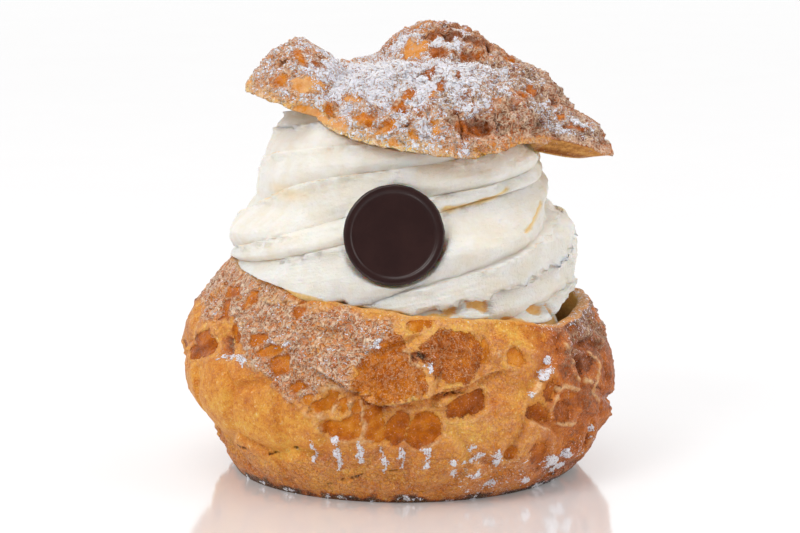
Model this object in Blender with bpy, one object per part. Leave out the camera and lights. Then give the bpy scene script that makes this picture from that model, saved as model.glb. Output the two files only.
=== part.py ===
"""A chantilly cream puff: a choux shell full of piped cream, with a chocolate disc and a torn lid on it.

Metres, +Z up, with the origin at the middle of the flat foot and the front towards -Y. A bearing runs
round the vertical axis from the front towards the right, in radians unless its name says degrees.
"""

import math

import bmesh
import bpy
import numpy as np
from mathutils import Matrix, Vector, noise

# A size with four values is for the front, right, back and left, and changes smoothly between them.
# The shell
FOOT_RADIUS = (0.0385, 0.0392, 0.0385, 0.0380)
BELLY_RADIUS = (0.0485, 0.0492, 0.0485, 0.0497)
BELLY_HEIGHT = (0.0215, 0.0190, 0.0220, 0.0255)
RIM_RADIUS = (0.0418, 0.0436, 0.0418, 0.0390)
RIM_HEIGHT = (0.0421, 0.0382, 0.0425, 0.0480)
UNDERCUT = (2.2, 2.8, 2.2, 1.6)
SHOULDER = 1.9
RIM_DIP_BEARING = math.radians(56)
RIM_DIP_WIDTH = math.radians(24)
RIM_DIP = 0.0022
RIM_CROWN = 0.0007
RIM_WALL = 0.0028
BELLY_WALL = 0.0048
FLOOR = 0.0050
BOWL_CORNER = 0.0100
PLATE_SIZE = 0.0135
PLATE_RELIEF = 0.0014
PLATE_SEAM = 0.26
SWELL_SIZE = 0.0300
SWELL_RELIEF = 0.0013
# A torn ledge runs across the front under the raised plates: its line as bearings in degrees and heights
LEDGE_BEARINGS = (-24, -16, -5, 5, 20, 28)
LEDGE_HEIGHTS = (0.0318, 0.0288, 0.0237, 0.0254, 0.0284, 0.0300)
LEDGE_RELIEF = 0.0012
# Hollows in the crust: bearing in degrees, height, half width, half height and depth
HOLLOWS = {
    "slot": (-52, 0.0334, 0.0060, 0.0028, 0.0026),
    "left_notch": (-82, 0.0112, 0.0190, 0.0042, 0.0036),
    "right_chip": (83, 0.0070, 0.0080, 0.0024, 0.0013),
    "valley": (25, 0.0300, 0.0055, 0.0160, 0.0011),
    "pit": (5, 0.0347, 0.0026, 0.0026, 0.0014),
    "fold": (-31, 0.0118, 0.0100, 0.0018, 0.0010),
}

# The cream
CAVITY_GAP = 0.0005
LID_GAP = 0.0021
DISC_GAP = 0.0004
LOWER_COIL = (0.0390, 0.0402, 0.0392, 0.0388)
UPPER_COIL = (0.0330, 0.0339, 0.0332, 0.0326)
COIL_STEP = (0.0550, 0.0640)
CREAM_SHOULDER = (0.0740, 0.0700, 0.0740, 0.0665)
CREAM_TOP = 0.0925
# The lobes that the nozzle leaves, from the lowest at the front up: the height of each from lip to lip,
# how far it stands out, its share of that right at its lip, and the share of its height at its crest
LOBE_HEIGHTS = (0.0055, 0.0137, 0.0050, 0.0075, 0.0065, 0.0068)
LOBE_RELIEF = (0.0022, 0.0035, 0.0022, 0.0026, 0.0022, 0.0018)
LIP_SHARES = (0.85, 0.10, 0.20, 0.30, 0.25, 0.20)
CREST_SHARES = (0.25, 0.36, 0.36, 0.34, 0.38, 0.40)
LOBE_SUNK = 0.0015
# The second lobe's lip hangs out at the front left, and elsewhere the lobe beneath it stands out instead
HANGING_LOBE = 1
HANGING_BEARING = math.radians(-38)
HANGING_WIDTH = math.radians(48)
HANGING_SHARE = 0.75
BROW_SHARE = 0.6
# The upper lobes are shallower at the upper left
CALM_LOBE = 3
CALM_BEARING = math.radians(-55)
CALM_WIDTH = math.radians(80)
CALM = 0.5
FIRST_LIP = 0.0418
LIP_DROOP = 0.0011
SWIRL_START = 0.0340
# The lobes climb more steeply round the waist of the cream than above and below it
WAIST_TILT = 0.0042
TOP_TILT = -0.0030
POCKET_BEARING = math.radians(92)
POCKET_WIDTH = math.radians(52)
POCKET_DEPTH = 0.0062
POCKET_FLOOR = 0.0270

# The lid: each lobe is a centre and half sizes, and all of its skin can be seen from LID_HEART
LID_HEART = np.array((0.0050, 0.0000, 0.0620))
LID_LOBES = {
    "front": ((0.0060, -0.0120, 0.0760), (0.0280, 0.0250, 0.0195)),
    "left": ((-0.0230, -0.0010, 0.0820), (0.0130, 0.0190, 0.0165)),
    "rear": ((0.0090, 0.0100, 0.0780), (0.0190, 0.0220, 0.0243)),
    "back_left": ((-0.0080, 0.0120, 0.0780), (0.0200, 0.0200, 0.0150)),
    "shoulder": ((0.0220, 0.0080, 0.0740), (0.0190, 0.0220, 0.0200)),
    "tip": ((0.0340, 0.0040, 0.0680), (0.0155, 0.0180, 0.0150)),
}
CREASE_SHARPNESS = 34
LID_EDGE_HEIGHT = 0.0812
LID_EDGE_SLOPE = (-0.1853, 0.0613)
# How far the torn edge rises above that plane: bearing and half width in degrees, and rise
LID_EDGE_WAVES = (
    (-22, 52, -0.0014),
    (41, 27, 0.0040),
    (84, 36, -0.0014),
    (150, 40, 0.0016),
    (-140, 35, -0.0012),
)
# Here the edge is torn on a slant, so that the crumb of the wall shows
LID_TEAR = (70, 26, 0.0040)
LID_WALL = 0.0048
LID_RELIEF = 0.0009
LID_GRAIN_SIZE = 0.0085
LID_WRINKLE = 0.0009
LID_WRINKLE_SIZE = np.array((0.0065, 0.0065, 0.0040))
# Hollows in the lid: where they are, how wide and how deep
LID_HOLLOWS = {
    "dent": ((0.0170, -0.0330, 0.0830), 0.0040, 0.0016),
    "pit": ((-0.0190, 0.0000, 0.0970), 0.0034, 0.0022),
    "crease": ((-0.0150, -0.0240, 0.0890), 0.0050, 0.0012),
}

# The chocolate disc
DISC_RADIUS = 0.0110
DISC_THICKNESS = 0.0028
DISC_BEVEL = 0.0006
DISC_RIM_WIDTH = 0.0013
DISC_RIM_HEIGHT = 0.0004
DISC_BACK = Vector((-0.0013, -0.0360, 0.0592))
DISC_LEAN = math.radians(12)

# How finely each surface is cut into faces
SHELL_COLUMNS = 92
SHELL_OUTER_ROWS = 19
SHELL_WALL_ROWS = 5
LOBE_STEP = 0.00125
CREASE_STEP = 0.0004
CREAM_ROW = 0.0012
CREAM_CAP = 0.0838
CREAM_CAP_ROWS = 7
LID_COLUMNS = 88
LID_OUTER_ROWS = 18
LID_INNER_ROWS = 8
DISC_SEGMENTS = 48


def around(bearing, sides):
    """A size at a bearing, from its values at the front, right, back and left."""
    front, right, back, left = sides
    mean = (front + right + back + left) / 4
    ovalness = (front + back - right - left) / 4
    across = (front - back) / 2 * np.cos(bearing) + (right - left) / 2 * np.sin(bearing)
    return mean + across + ovalness * np.cos(2 * bearing)


def ease(x):
    """A smooth step from 0 to 1 as x goes from 0 to 1."""
    x = np.clip(x, 0, 1)
    return x * x * (3 - 2 * x)


def near(bearing, middle, width):
    """1 at the middle bearing, falling smoothly to 0 a width away on each side."""
    turn = np.angle(np.exp(1j * (bearing - middle)))
    return ease(1 - np.abs(turn) / width)


def at(bearing, radius, height):
    """Points, one row each, from cylindrical coordinates."""
    bearing, radius, height = np.broadcast_arrays(bearing, radius, height)
    return np.stack([radius * np.sin(bearing), -radius * np.cos(bearing), height], axis=-1)


def lumps(points, size, octaves=2):
    """Smooth noise, about -1 to 1, with lumps of one size."""
    flat = points.reshape(-1, 3) / size
    values = [noise.fractal(Vector(p), 1.0, 2.0, octaves) for p in flat]
    return np.array(values).reshape(points.shape[:-1])


def plates(points, size, seam):
    """1 on the plates that a baked skin cracks into, and 0 in the seams between them."""
    flat = points.reshape(-1, 3) / size
    gaps = []
    for p in flat:
        near_and_next = noise.voronoi(Vector(p))[0][:2]
        gaps.append(near_and_next[1] - near_and_next[0])
    return ease(np.array(gaps).reshape(points.shape[:-1]) / seam)


def rim_height(bearing):
    return around(bearing, RIM_HEIGHT) - RIM_DIP * near(bearing, RIM_DIP_BEARING, RIM_DIP_WIDTH)


def wall_radius(bearing, height):
    """The shell's outer radius without relief: a fat belly that leans in to the foot and the rim."""
    belly = around(bearing, BELLY_RADIUS)
    belly_height = around(bearing, BELLY_HEIGHT)
    rim = rim_height(bearing)
    foot_share = np.clip(1 - height / belly_height, 0, 1) ** around(bearing, UNDERCUT)
    rim_share = np.clip((height - belly_height) / (rim - belly_height), 0, 1) ** SHOULDER
    below = belly - (belly - around(bearing, FOOT_RADIUS)) * foot_share
    return below - (belly - around(bearing, RIM_RADIUS)) * rim_share


def hollow(bearing, height, middle, level, half_width, half_height, depth):
    """How deep an oval hollow is in the shell's side."""
    turn = np.angle(np.exp(1j * (bearing - math.radians(middle))))
    across = turn * BELLY_RADIUS[0] / half_width
    return depth * np.exp(-(across**2) - ((height - level) / half_height) ** 2)


def ledge(bearing, height):
    """The torn ledge across the front: proud above its line and cut back beneath it."""
    degrees = np.degrees(np.angle(np.exp(1j * bearing)))
    above = height - np.interp(degrees, LEDGE_BEARINGS, LEDGE_HEIGHTS)
    proud = np.where(above > 0, np.exp(-above / 0.006), -np.exp(above / 0.003))
    middle = (LEDGE_BEARINGS[0] + LEDGE_BEARINGS[-1]) / 2
    return LEDGE_RELIEF * proud * near(bearing, math.radians(middle), math.radians(34)) ** 0.5


def crusted_radius(bearing, height):
    """The outer radius with swellings, raised plates and hollows, which fade at the foot and the rim."""
    smooth = wall_radius(bearing, height)
    points = at(bearing, smooth, height)
    relief = SWELL_RELIEF * lumps(points, SWELL_SIZE) + ledge(bearing, height)
    relief += PLATE_RELIEF * (plates(points, PLATE_SIZE, PLATE_SEAM) - 0.7)
    for place in HOLLOWS.values():
        relief -= hollow(bearing, height, *place)
    rim_share = ease((rim_height(bearing) - height) / 0.004)
    return smooth + relief * ease(height / 0.005) * (0.4 + 0.6 * rim_share)


def cavity_radius(bearing, height):
    """The shell's inner radius, whose lower corner is rounded into the floor."""
    rim = rim_height(bearing)
    height = np.clip(height, FLOOR, rim)
    thickness = BELLY_WALL + (RIM_WALL - BELLY_WALL) * ease((height - 0.020) / (rim - 0.020))
    corner = np.clip(1 - (height - FLOOR) / BOWL_CORNER, 0, 1)
    return wall_radius(bearing, height) - thickness - BOWL_CORNER * (1 - np.sqrt(1 - corner**2))


def lid_reach(directions):
    """How far the lid's skin is from its heart: the far side of the lobes, creased where they meet."""
    total = np.zeros(directions.shape[:-1])
    for centre, half in LID_LOBES.values():
        ray = directions / np.array(half)
        start = (LID_HEART - np.array(centre)) / np.array(half)
        a = (ray * ray).sum(-1)
        b = (ray * start).sum(-1)
        inside = b * b - a * (start @ start - 1)
        reach = np.where(inside > 0, (np.sqrt(np.maximum(inside, 0)) - b) / a, 0)
        total += (np.maximum(reach, 0) * 1000) ** CREASE_SHARPNESS
    return total ** (1 / CREASE_SHARPNESS) / 1000


def above_lid_edge(points):
    """Height of points above the wavy, tilted surface in which the lid was torn off."""
    out = points - LID_HEART
    bearing = np.arctan2(out[..., 0], -out[..., 1])
    level = LID_EDGE_HEIGHT + points[..., :2] @ np.array(LID_EDGE_SLOPE)
    for middle, width, rise in LID_EDGE_WAVES:
        level = level + rise * near(bearing, math.radians(middle), math.radians(width))
    return points[..., 2] - level


def lid_direction(bearing, angle):
    """Unit directions from the lid's heart, at an angle from straight up."""
    return at(bearing, np.sin(angle), np.cos(angle))


def lid_edge_angle(bearing, depth, rise):
    """The angle from straight up at which a skin at a depth is a rise above the torn edge, by halving."""
    low = np.zeros_like(bearing)
    high = np.full_like(bearing, math.radians(100))
    for _ in range(30):
        middle = (low + high) / 2
        direction = lid_direction(bearing, middle)
        above = above_lid_edge(LID_HEART + direction * (lid_reach(direction) - depth)[..., None]) > rise
        low = np.where(above, middle, low)
        high = np.where(above, high, middle)
    return low


def lid_relief(points):
    """Wrinkles and hollows in the lid's skin."""
    relief = LID_RELIEF * lumps(points, LID_GRAIN_SIZE)
    relief += LID_WRINKLE * (0.5 - 2.4 * np.abs(lumps(points / LID_WRINKLE_SIZE, 1.0)))
    for place, width, depth in LID_HOLLOWS.values():
        relief -= depth * np.exp(-(((points - np.array(place)) ** 2).sum(-1)) / width**2)
    return relief


def under_lid(points):
    """Points that would be in the lid drawn in towards its heart, to just below its inner face."""
    out = points - LID_HEART
    distance = np.maximum(np.linalg.norm(out, axis=-1), 1e-6)
    limit = lid_reach(out / distance[..., None]) - LID_WALL - LID_GAP
    share = np.minimum(1, limit / distance)
    covered = ease((above_lid_edge(points) + 0.0024) / 0.0012)
    return LID_HEART + out * (1 + (share - 1) * covered)[..., None]


def swirl_turn(height):
    """How far the nozzle's lobes have turned round the cream at a height."""
    return 2 * math.pi * np.maximum(height - SWIRL_START, 0) / sum(LOBE_HEIGHTS)


def lobe_at(share):
    """The number of the lobe at a share of the turn, and the share of its rise from its lip to the next."""
    tops = np.cumsum(LOBE_HEIGHTS)
    height = np.mod(share, 1) * tops[-1]
    number = np.minimum(np.searchsorted(tops, height, side="right"), len(tops) - 1)
    rise = 1 - (tops[number] - height) / np.array(LOBE_HEIGHTS)[number]
    return number, np.clip(rise, 0, 1)


def lobe_relief(number, bearing):
    """How far a lobe's crest stands out, which changes as the lobe goes round."""
    places = at(bearing, 1.3, 5.0 * number)
    calm = 1 - CALM * near(bearing, CALM_BEARING, CALM_WIDTH) * (number >= CALM_LOBE)
    return np.array(LOBE_RELIEF)[number] * (1 + 0.45 * lumps(places, 1.0)) * calm


def lip_share(number, bearing):
    """How far a lobe already stands out at its lip, as a share of its crest."""
    hanging = near(bearing, HANGING_BEARING, HANGING_WIDTH) * (number == HANGING_LOBE)
    share = np.array(LIP_SHARES)[number]
    return share + (HANGING_SHARE - share) * hanging


def lobe_profile(number, rise, bearing):
    """How far a lobe stands out at a share of its rise: a lip, a rounded crest and a slope to the next."""
    lip = lip_share(number, bearing)
    hanging = near(bearing, HANGING_BEARING, HANGING_WIDTH)
    brow = BROW_SHARE * (1 - hanging) * (number == HANGING_LOBE - 1)
    crest = np.array(CREST_SHARES)[number]
    below = lip + (1 - lip) * np.sin(math.pi / 2 * np.clip(rise / crest, 0, 1))
    above = 1 - (1 - brow) * np.clip((rise - crest) / (1 - crest), 0, 1) ** 1.6
    return lobe_relief(number, bearing) * np.where(rise < crest, below, above) - LOBE_SUNK


def lobe_tilt(height):
    """How much higher the lobes are on the right than at the front, at a height."""
    waist = WAIST_TILT * ease((height - 0.045) / 0.012)
    shoulder = (TOP_TILT - WAIST_TILT) * ease((height - 0.058) / 0.015)
    return waist + shoulder - TOP_TILT * ease((height - 0.074) / 0.012)


def cream_radius(bearing, height, share):
    """The cream's radius: it fills the shell, and above the rim it is a lobed column in two coils."""
    rim = rim_height(bearing)
    number, rise = lobe_at(share)
    coil = ease((height - COIL_STEP[0]) / (COIL_STEP[1] - COIL_STEP[0]))
    radius = around(bearing, LOWER_COIL) * (1 - coil) + around(bearing, UPPER_COIL) * coil
    shoulder = around(bearing, CREAM_SHOULDER)
    dome = np.clip((height - shoulder) / (CREAM_TOP - shoulder), 0, 1)
    radius = radius * np.sqrt(np.maximum(1 - dome**1.7, 0.0004))
    ridged = ease((height - rim + 0.004) / 0.005) * (1 - dome)
    swirl = radius + lobe_profile(number, rise, bearing) * ridged
    pocket = near(bearing, POCKET_BEARING, POCKET_WIDTH) * ease((height - POCKET_FLOOR) / 0.005)
    inside = cavity_radius(bearing, height) - CAVITY_GAP - POCKET_DEPTH * pocket
    allowed = inside + 1.6 * np.maximum(height - rim - RIM_CROWN - 0.0009, 0)
    return np.minimum(swirl, allowed)


def disc_axis():
    """The direction in which the disc faces."""
    return np.array((0, -math.cos(DISC_LEAN), math.sin(DISC_LEAN)))


def clear_scene():
    for old in list(bpy.data.objects):
        bpy.data.objects.remove(old)


def material(name, colour, roughness):
    made = bpy.data.materials.new(name)
    made.use_nodes = True
    shader = made.node_tree.nodes["Principled BSDF"]
    shader.inputs["Base Color"].default_value = (*colour, 1)
    shader.inputs["Roughness"].default_value = roughness
    return made


def join_rings(mesh, near_ring, far_ring):
    """Faces between two rings that have as many points, or of which the far one has half as many."""
    count = len(far_ring)
    for i in range(count):
        j = (i + 1) % count
        if count == len(near_ring):
            mesh.faces.new((near_ring[i], near_ring[j], far_ring[j], far_ring[i]))
        else:
            k = (2 * i + 2) % len(near_ring)
            mesh.faces.new((near_ring[2 * i], near_ring[2 * i + 1], far_ring[i]))
            mesh.faces.new((near_ring[2 * i + 1], near_ring[k], far_ring[j], far_ring[i]))


def fan(mesh, pole, ring):
    """Faces from a pole to the ring round it."""
    middle = mesh.verts.new(pole)
    for i, point in enumerate(ring):
        mesh.faces.new((middle, point, ring[(i + 1) % len(ring)]))


def closed_skin(name, first_pole, rings, last_pole):
    """An object whose closed skin runs from one pole over rings of points to the other."""
    mesh = bmesh.new()
    loops = [[mesh.verts.new(point) for point in ring] for ring in rings]
    for near_ring, far_ring in zip(loops, loops[1:]):
        join_rings(mesh, near_ring, far_ring)
    fan(mesh, first_pole, loops[0])
    fan(mesh, last_pole, loops[-1])
    bmesh.ops.recalc_face_normals(mesh, faces=mesh.faces[:])
    bmesh.ops.triangulate(mesh, faces=mesh.faces[:])
    data = bpy.data.meshes.new(name)
    mesh.to_mesh(data)
    mesh.free()
    data.shade_smooth()
    made = bpy.data.objects.new(name, data)
    bpy.context.scene.collection.objects.link(made)
    return made


def make_shell():
    bearing = np.linspace(0, 2 * math.pi, SHELL_COLUMNS, endpoint=False)
    rim = rim_height(bearing)
    rings = []
    for row in range(SHELL_OUTER_ROWS + 1):
        height = rim * row / SHELL_OUTER_ROWS
        rings.append(at(bearing, crusted_radius(bearing, height), height))
    crown = wall_radius(bearing, rim) - RIM_WALL / 2
    rings.append(at(bearing, crown, rim + RIM_CROWN))
    bearing, rim = bearing[::2], rim[::2]
    for row in range(SHELL_WALL_ROWS + 1):
        height = rim - (rim - FLOOR - BOWL_CORNER) * row / SHELL_WALL_ROWS
        rings.append(at(bearing, cavity_radius(bearing, height), height))
    for turn in (30, 60, 90):
        height = FLOOR + BOWL_CORNER * (1 - math.sin(math.radians(turn)))
        rings.append(at(bearing, cavity_radius(bearing, height), height))
    return closed_skin("choux_shell", (0, 0, 0), rings, (0, 0, FLOOR))


def make_cream():
    shares = []
    for number, height in enumerate(LOBE_HEIGHTS):
        lip = sum(LOBE_HEIGHTS[:number])
        steps = np.linspace(0, height, round(height / LOBE_STEP), endpoint=False)
        shares += [(lip + step) / sum(LOBE_HEIGHTS) for step in (*steps, height - CREASE_STEP)]
    shares = np.array(shares)
    rings = []
    for turn in (90, 60, 30):
        down, outward = math.sin(math.radians(turn)), math.cos(math.radians(turn))
        bearing = -swirl_turn(FIRST_LIP) - 2 * math.pi * shares
        height = FLOOR + BOWL_CORNER * (1 - down)
        radius = cavity_radius(bearing, height) - CAVITY_GAP * outward
        rings.append(at(bearing, radius, height + CAVITY_GAP * down))
    heights = list(np.linspace(FLOOR + BOWL_CORNER, SWIRL_START, 5))
    heights += list(np.arange(SWIRL_START + CREAM_ROW, CREAM_CAP, CREAM_ROW))
    cap = np.linspace(0, 1, CREAM_CAP_ROWS, endpoint=False)
    heights += list(CREAM_CAP + (CREAM_TOP - CREAM_CAP) * (1 - (1 - cap) ** 2))
    for height in heights:
        # A lobe rises as it goes round to the right, so a higher share of the turn is at a lower bearing.
        turned = swirl_turn(height) - swirl_turn(FIRST_LIP)
        bearing = turned - 2 * math.pi * shares
        level = height + lobe_tilt(height) * np.sin(bearing)
        radius = cream_radius(bearing, level, shares)
        number, rise = lobe_at(shares)
        droop = LIP_DROOP * lip_share(number, bearing) * (1 - ease(rise / 0.3))
        droop *= ease((level - 0.050) / 0.004)
        rings.append(under_lid(at(bearing, radius, level - droop)))
    top = under_lid(np.array([[0, 0, CREAM_TOP]]))[0]
    return closed_skin("chantilly", (0, 0, FLOOR + CAVITY_GAP), rings, top)


def make_lid():
    bearing = np.linspace(0, 2 * math.pi, LID_COLUMNS, endpoint=False)
    torn, half_width, rise = LID_TEAR
    edge = lid_edge_angle(bearing, 0, rise * near(bearing, math.radians(torn), math.radians(half_width)))
    outer, inner = [], []
    for row in range(1, LID_OUTER_ROWS + 1):
        direction = lid_direction(bearing, edge * (row / LID_OUTER_ROWS) ** 0.9)
        points = LID_HEART + direction * lid_reach(direction)[..., None]
        relief = lid_relief(points) * (1 - 0.8 * ease((row / LID_OUTER_ROWS - 0.85) / 0.15))
        outer.append(points + direction * relief[..., None])
    bearing = bearing[::2]
    edge = lid_edge_angle(bearing, LID_WALL, 0)
    for row in range(LID_INNER_ROWS, 0, -1):
        direction = lid_direction(bearing, edge * row / LID_INNER_ROWS)
        points = LID_HEART + direction * (lid_reach(direction) - LID_WALL)[..., None]
        inner.append(points)
    up = np.array((0.0, 0.0, 1.0))
    top = LID_HEART + up * lid_reach(up)
    return closed_skin("choux_lid", top, outer + inner, top - up * LID_WALL)


def lean_back(made):
    """Lay an object that was made flat against the cream, where the disc is."""
    turn = Vector(disc_axis()).to_track_quat("Z", "Y").to_matrix().to_4x4()
    made.data.transform(Matrix.Translation(DISC_BACK) @ turn)


def make_disc():
    """A cast disc with a bevelled edge and a raised rim round its face, leaning back against the cream."""
    inner_rim = DISC_RADIUS - DISC_RIM_WIDTH
    face = DISC_THICKNESS - DISC_RIM_HEIGHT
    profile = (
        (DISC_RADIUS - DISC_BEVEL / 2, 0),
        (DISC_RADIUS, DISC_BEVEL / 2),
        (DISC_RADIUS, DISC_THICKNESS - DISC_BEVEL),
        (DISC_RADIUS - DISC_BEVEL, DISC_THICKNESS),
        (inner_rim, DISC_THICKNESS),
        (inner_rim - DISC_RIM_HEIGHT, face),
    )
    bearing = np.linspace(0, 2 * math.pi, DISC_SEGMENTS, endpoint=False)
    rings = [at(bearing, radius, height) for radius, height in profile]
    made = closed_skin("chocolate_disc", (0, 0, 0), rings, (0, 0, face))
    made.data.set_sharp_from_angle(angle=math.radians(30))
    lean_back(made)
    return made


def press_disc_into(cream):
    """Cut the bed that the disc was pressed into."""
    bearing = np.linspace(0, 2 * math.pi, DISC_SEGMENTS // 2, endpoint=False)
    radius = (DISC_RADIUS + DISC_GAP) / math.cos(2 * math.pi / DISC_SEGMENTS)
    rings = [at(bearing, radius, -DISC_GAP), at(bearing, radius, 0.012)]
    bed = closed_skin("disc_bed", (0, 0, -DISC_GAP), rings, (0, 0, 0.012))
    lean_back(bed)
    bed.hide_render = True
    bed.display_type = "WIRE"
    cut = cream.modifiers.new("bed_of_the_disc", "BOOLEAN")
    cut.operation = "DIFFERENCE"
    cut.solver = "EXACT"
    cut.object = bed


def main():
    clear_scene()
    make_shell().data.materials.append(material("baked_choux", (0.60, 0.31, 0.10), 0.55))
    cream = make_cream()
    cream.data.materials.append(material("whipped_cream", (0.93, 0.89, 0.80), 0.60))
    press_disc_into(cream)
    make_lid().data.materials.append(material("baked_choux_lid", (0.62, 0.34, 0.14), 0.60))
    make_disc().data.materials.append(material("dark_chocolate", (0.045, 0.020, 0.016), 0.25))


if __name__ == "__main__":
    main()
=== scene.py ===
"""The looks of the chantilly cream puff: fine crusts, piped cream, cast chocolate and sugar.

Metres, +Z up, front towards -Y. A bearing runs round the vertical axis from the front towards the right.
Tables of places on the crusts are in degrees and millimetres, as their comments say.
"""

import math
from types import SimpleNamespace

import bpy
import numpy as np
from mathutils import Matrix, Vector, noise


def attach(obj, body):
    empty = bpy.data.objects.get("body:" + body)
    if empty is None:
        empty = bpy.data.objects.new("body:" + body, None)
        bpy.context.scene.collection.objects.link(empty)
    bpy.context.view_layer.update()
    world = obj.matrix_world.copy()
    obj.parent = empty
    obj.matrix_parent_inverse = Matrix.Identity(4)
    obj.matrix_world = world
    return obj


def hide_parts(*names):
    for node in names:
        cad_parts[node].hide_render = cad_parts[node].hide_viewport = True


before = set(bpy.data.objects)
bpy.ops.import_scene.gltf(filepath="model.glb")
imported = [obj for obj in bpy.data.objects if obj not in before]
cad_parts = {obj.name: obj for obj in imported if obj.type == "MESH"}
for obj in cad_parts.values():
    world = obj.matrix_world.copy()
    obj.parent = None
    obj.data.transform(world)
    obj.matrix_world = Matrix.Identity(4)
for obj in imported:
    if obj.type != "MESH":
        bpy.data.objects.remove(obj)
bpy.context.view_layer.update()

MM = 0.001

# The form of the solids. Four values are for the front, right, back and left.
FOOT_RADIUS = (0.0385, 0.0392, 0.0385, 0.0380)
BELLY_RADIUS = (0.0485, 0.0492, 0.0485, 0.0497)
BELLY_HEIGHT = (0.0215, 0.0190, 0.0220, 0.0255)
RIM_RADIUS = (0.0418, 0.0436, 0.0418, 0.0390)
RIM_HEIGHT = (0.0421, 0.0382, 0.0425, 0.0480)
UNDERCUT = (2.2, 2.8, 2.2, 1.6)
SHOULDER = 1.9
RIM_DIP_BEARING = math.radians(56)
RIM_DIP_WIDTH = math.radians(24)
RIM_DIP = 0.0022
RIM_CROWN = 0.0007
RIM_WALL = 0.0028
BELLY_WALL = 0.0048
FLOOR = 0.0050
BOWL_CORNER = 0.0100
PLATE_SIZE = 0.0135
PLATE_RELIEF = 0.0014
PLATE_SEAM = 0.26
SWELL_SIZE = 0.0300
SWELL_RELIEF = 0.0013
LEDGE_BEARINGS = (-24, -16, -5, 5, 20, 28)
LEDGE_HEIGHTS = (0.0318, 0.0288, 0.0237, 0.0254, 0.0284, 0.0300)
LEDGE_RELIEF = 0.0012
LEDGE_WIDTH = 34
# Hollows in the crust: bearing in degrees, height, half width, half height and depth
HOLLOWS = {
    "slot": (-52, 0.0334, 0.0060, 0.0028, 0.0026),
    "left_notch": (-82, 0.0112, 0.0190, 0.0042, 0.0036),
    "right_chip": (83, 0.0070, 0.0080, 0.0024, 0.0013),
    "valley": (25, 0.0300, 0.0055, 0.0160, 0.0011),
    "pit": (5, 0.0347, 0.0026, 0.0026, 0.0014),
    "fold": (-31, 0.0118, 0.0100, 0.0018, 0.0010),
}

CAVITY_GAP = 0.0005
LID_GAP = 0.0021
LOWER_COIL = (0.0390, 0.0402, 0.0392, 0.0388)
UPPER_COIL = (0.0330, 0.0339, 0.0332, 0.0326)
COIL_STEP = (0.0550, 0.0640)
CREAM_SHOULDER = (0.0740, 0.0700, 0.0740, 0.0665)
CREAM_TOP = 0.0925
LOBE_HEIGHTS = (0.0055, 0.0137, 0.0050, 0.0075, 0.0065, 0.0068)
LOBE_RELIEF = (0.0022, 0.0035, 0.0022, 0.0026, 0.0022, 0.0018)
LIP_SHARES = (0.85, 0.10, 0.20, 0.30, 0.25, 0.20)
CREST_SHARES = (0.25, 0.36, 0.36, 0.34, 0.38, 0.40)
LOBE_SUNK = 0.0015
# The second lobe's lip hangs out at the front left, and elsewhere the lobe beneath it stands out instead
HANGING_LOBE = 1
HANGING_BEARING = math.radians(-38)
HANGING_WIDTH = math.radians(48)
HANGING_SHARE = 0.75
BROW_SHARE = 0.6
# The upper lobes are shallower at the upper left
CALM_LOBE = 3
CALM_BEARING = math.radians(-55)
CALM_WIDTH = math.radians(80)
CALM = 0.5
FIRST_LIP = 0.0418
LIP_DROOP = 0.0011
SWIRL_START = 0.0340
WAIST_TILT = 0.0042
TOP_TILT = -0.0030
POCKET_BEARING = math.radians(92)
POCKET_WIDTH = math.radians(52)
POCKET_DEPTH = 0.0062
POCKET_FLOOR = 0.0270
CREAM_CAP = 0.0838

LID_HEART = np.array((0.0050, 0.0000, 0.0620))
LID_LOBES = {
    "front": ((0.0060, -0.0120, 0.0760), (0.0280, 0.0250, 0.0195)),
    "left": ((-0.0230, -0.0010, 0.0820), (0.0130, 0.0190, 0.0165)),
    "rear": ((0.0090, 0.0100, 0.0780), (0.0190, 0.0220, 0.0243)),
    "back_left": ((-0.0080, 0.0120, 0.0780), (0.0200, 0.0200, 0.0150)),
    "shoulder": ((0.0220, 0.0080, 0.0740), (0.0190, 0.0220, 0.0200)),
    "tip": ((0.0340, 0.0040, 0.0680), (0.0155, 0.0180, 0.0150)),
}
CREASE_SHARPNESS = 34
LID_EDGE_HEIGHT = 0.0812
LID_EDGE_SLOPE = (-0.1853, 0.0613)
LID_EDGE_WAVES = (
    (-22, 52, -0.0014),
    (41, 27, 0.0040),
    (84, 36, -0.0014),
    (150, 40, 0.0016),
    (-140, 35, -0.0012),
)
LID_TEAR = (70, 26, 0.0040)
LID_WALL = 0.0048
LID_RELIEF = 0.0009
LID_GRAIN_SIZE = 0.0085
LID_WRINKLE = 0.0009
LID_WRINKLE_SIZE = np.array((0.0065, 0.0065, 0.0040))
LID_HOLLOWS = {
    "dent": ((0.0170, -0.0330, 0.0830), 0.0040, 0.0016),
    "pit": ((-0.0190, 0.0000, 0.0970), 0.0034, 0.0022),
    "crease": ((-0.0150, -0.0240, 0.0890), 0.0050, 0.0012),
}

DISC_RADIUS = 0.0110
DISC_THICKNESS = 0.0028
DISC_RIM_WIDTH = 0.0013
DISC_RIM_HEIGHT = 0.0004
# How round the edges of its face and its back are, how far its rim falls inwards, and how far behind it the
# cream stays
DISC_ROUND = 0.0006
BACK_ROUND = 0.0003
RIM_FALL = 0.00004
DISC_SUNK = 0.0005
DISC_BACK = np.array((-0.0013, -0.0360, 0.0592))
DISC_LEAN = math.radians(12)

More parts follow.
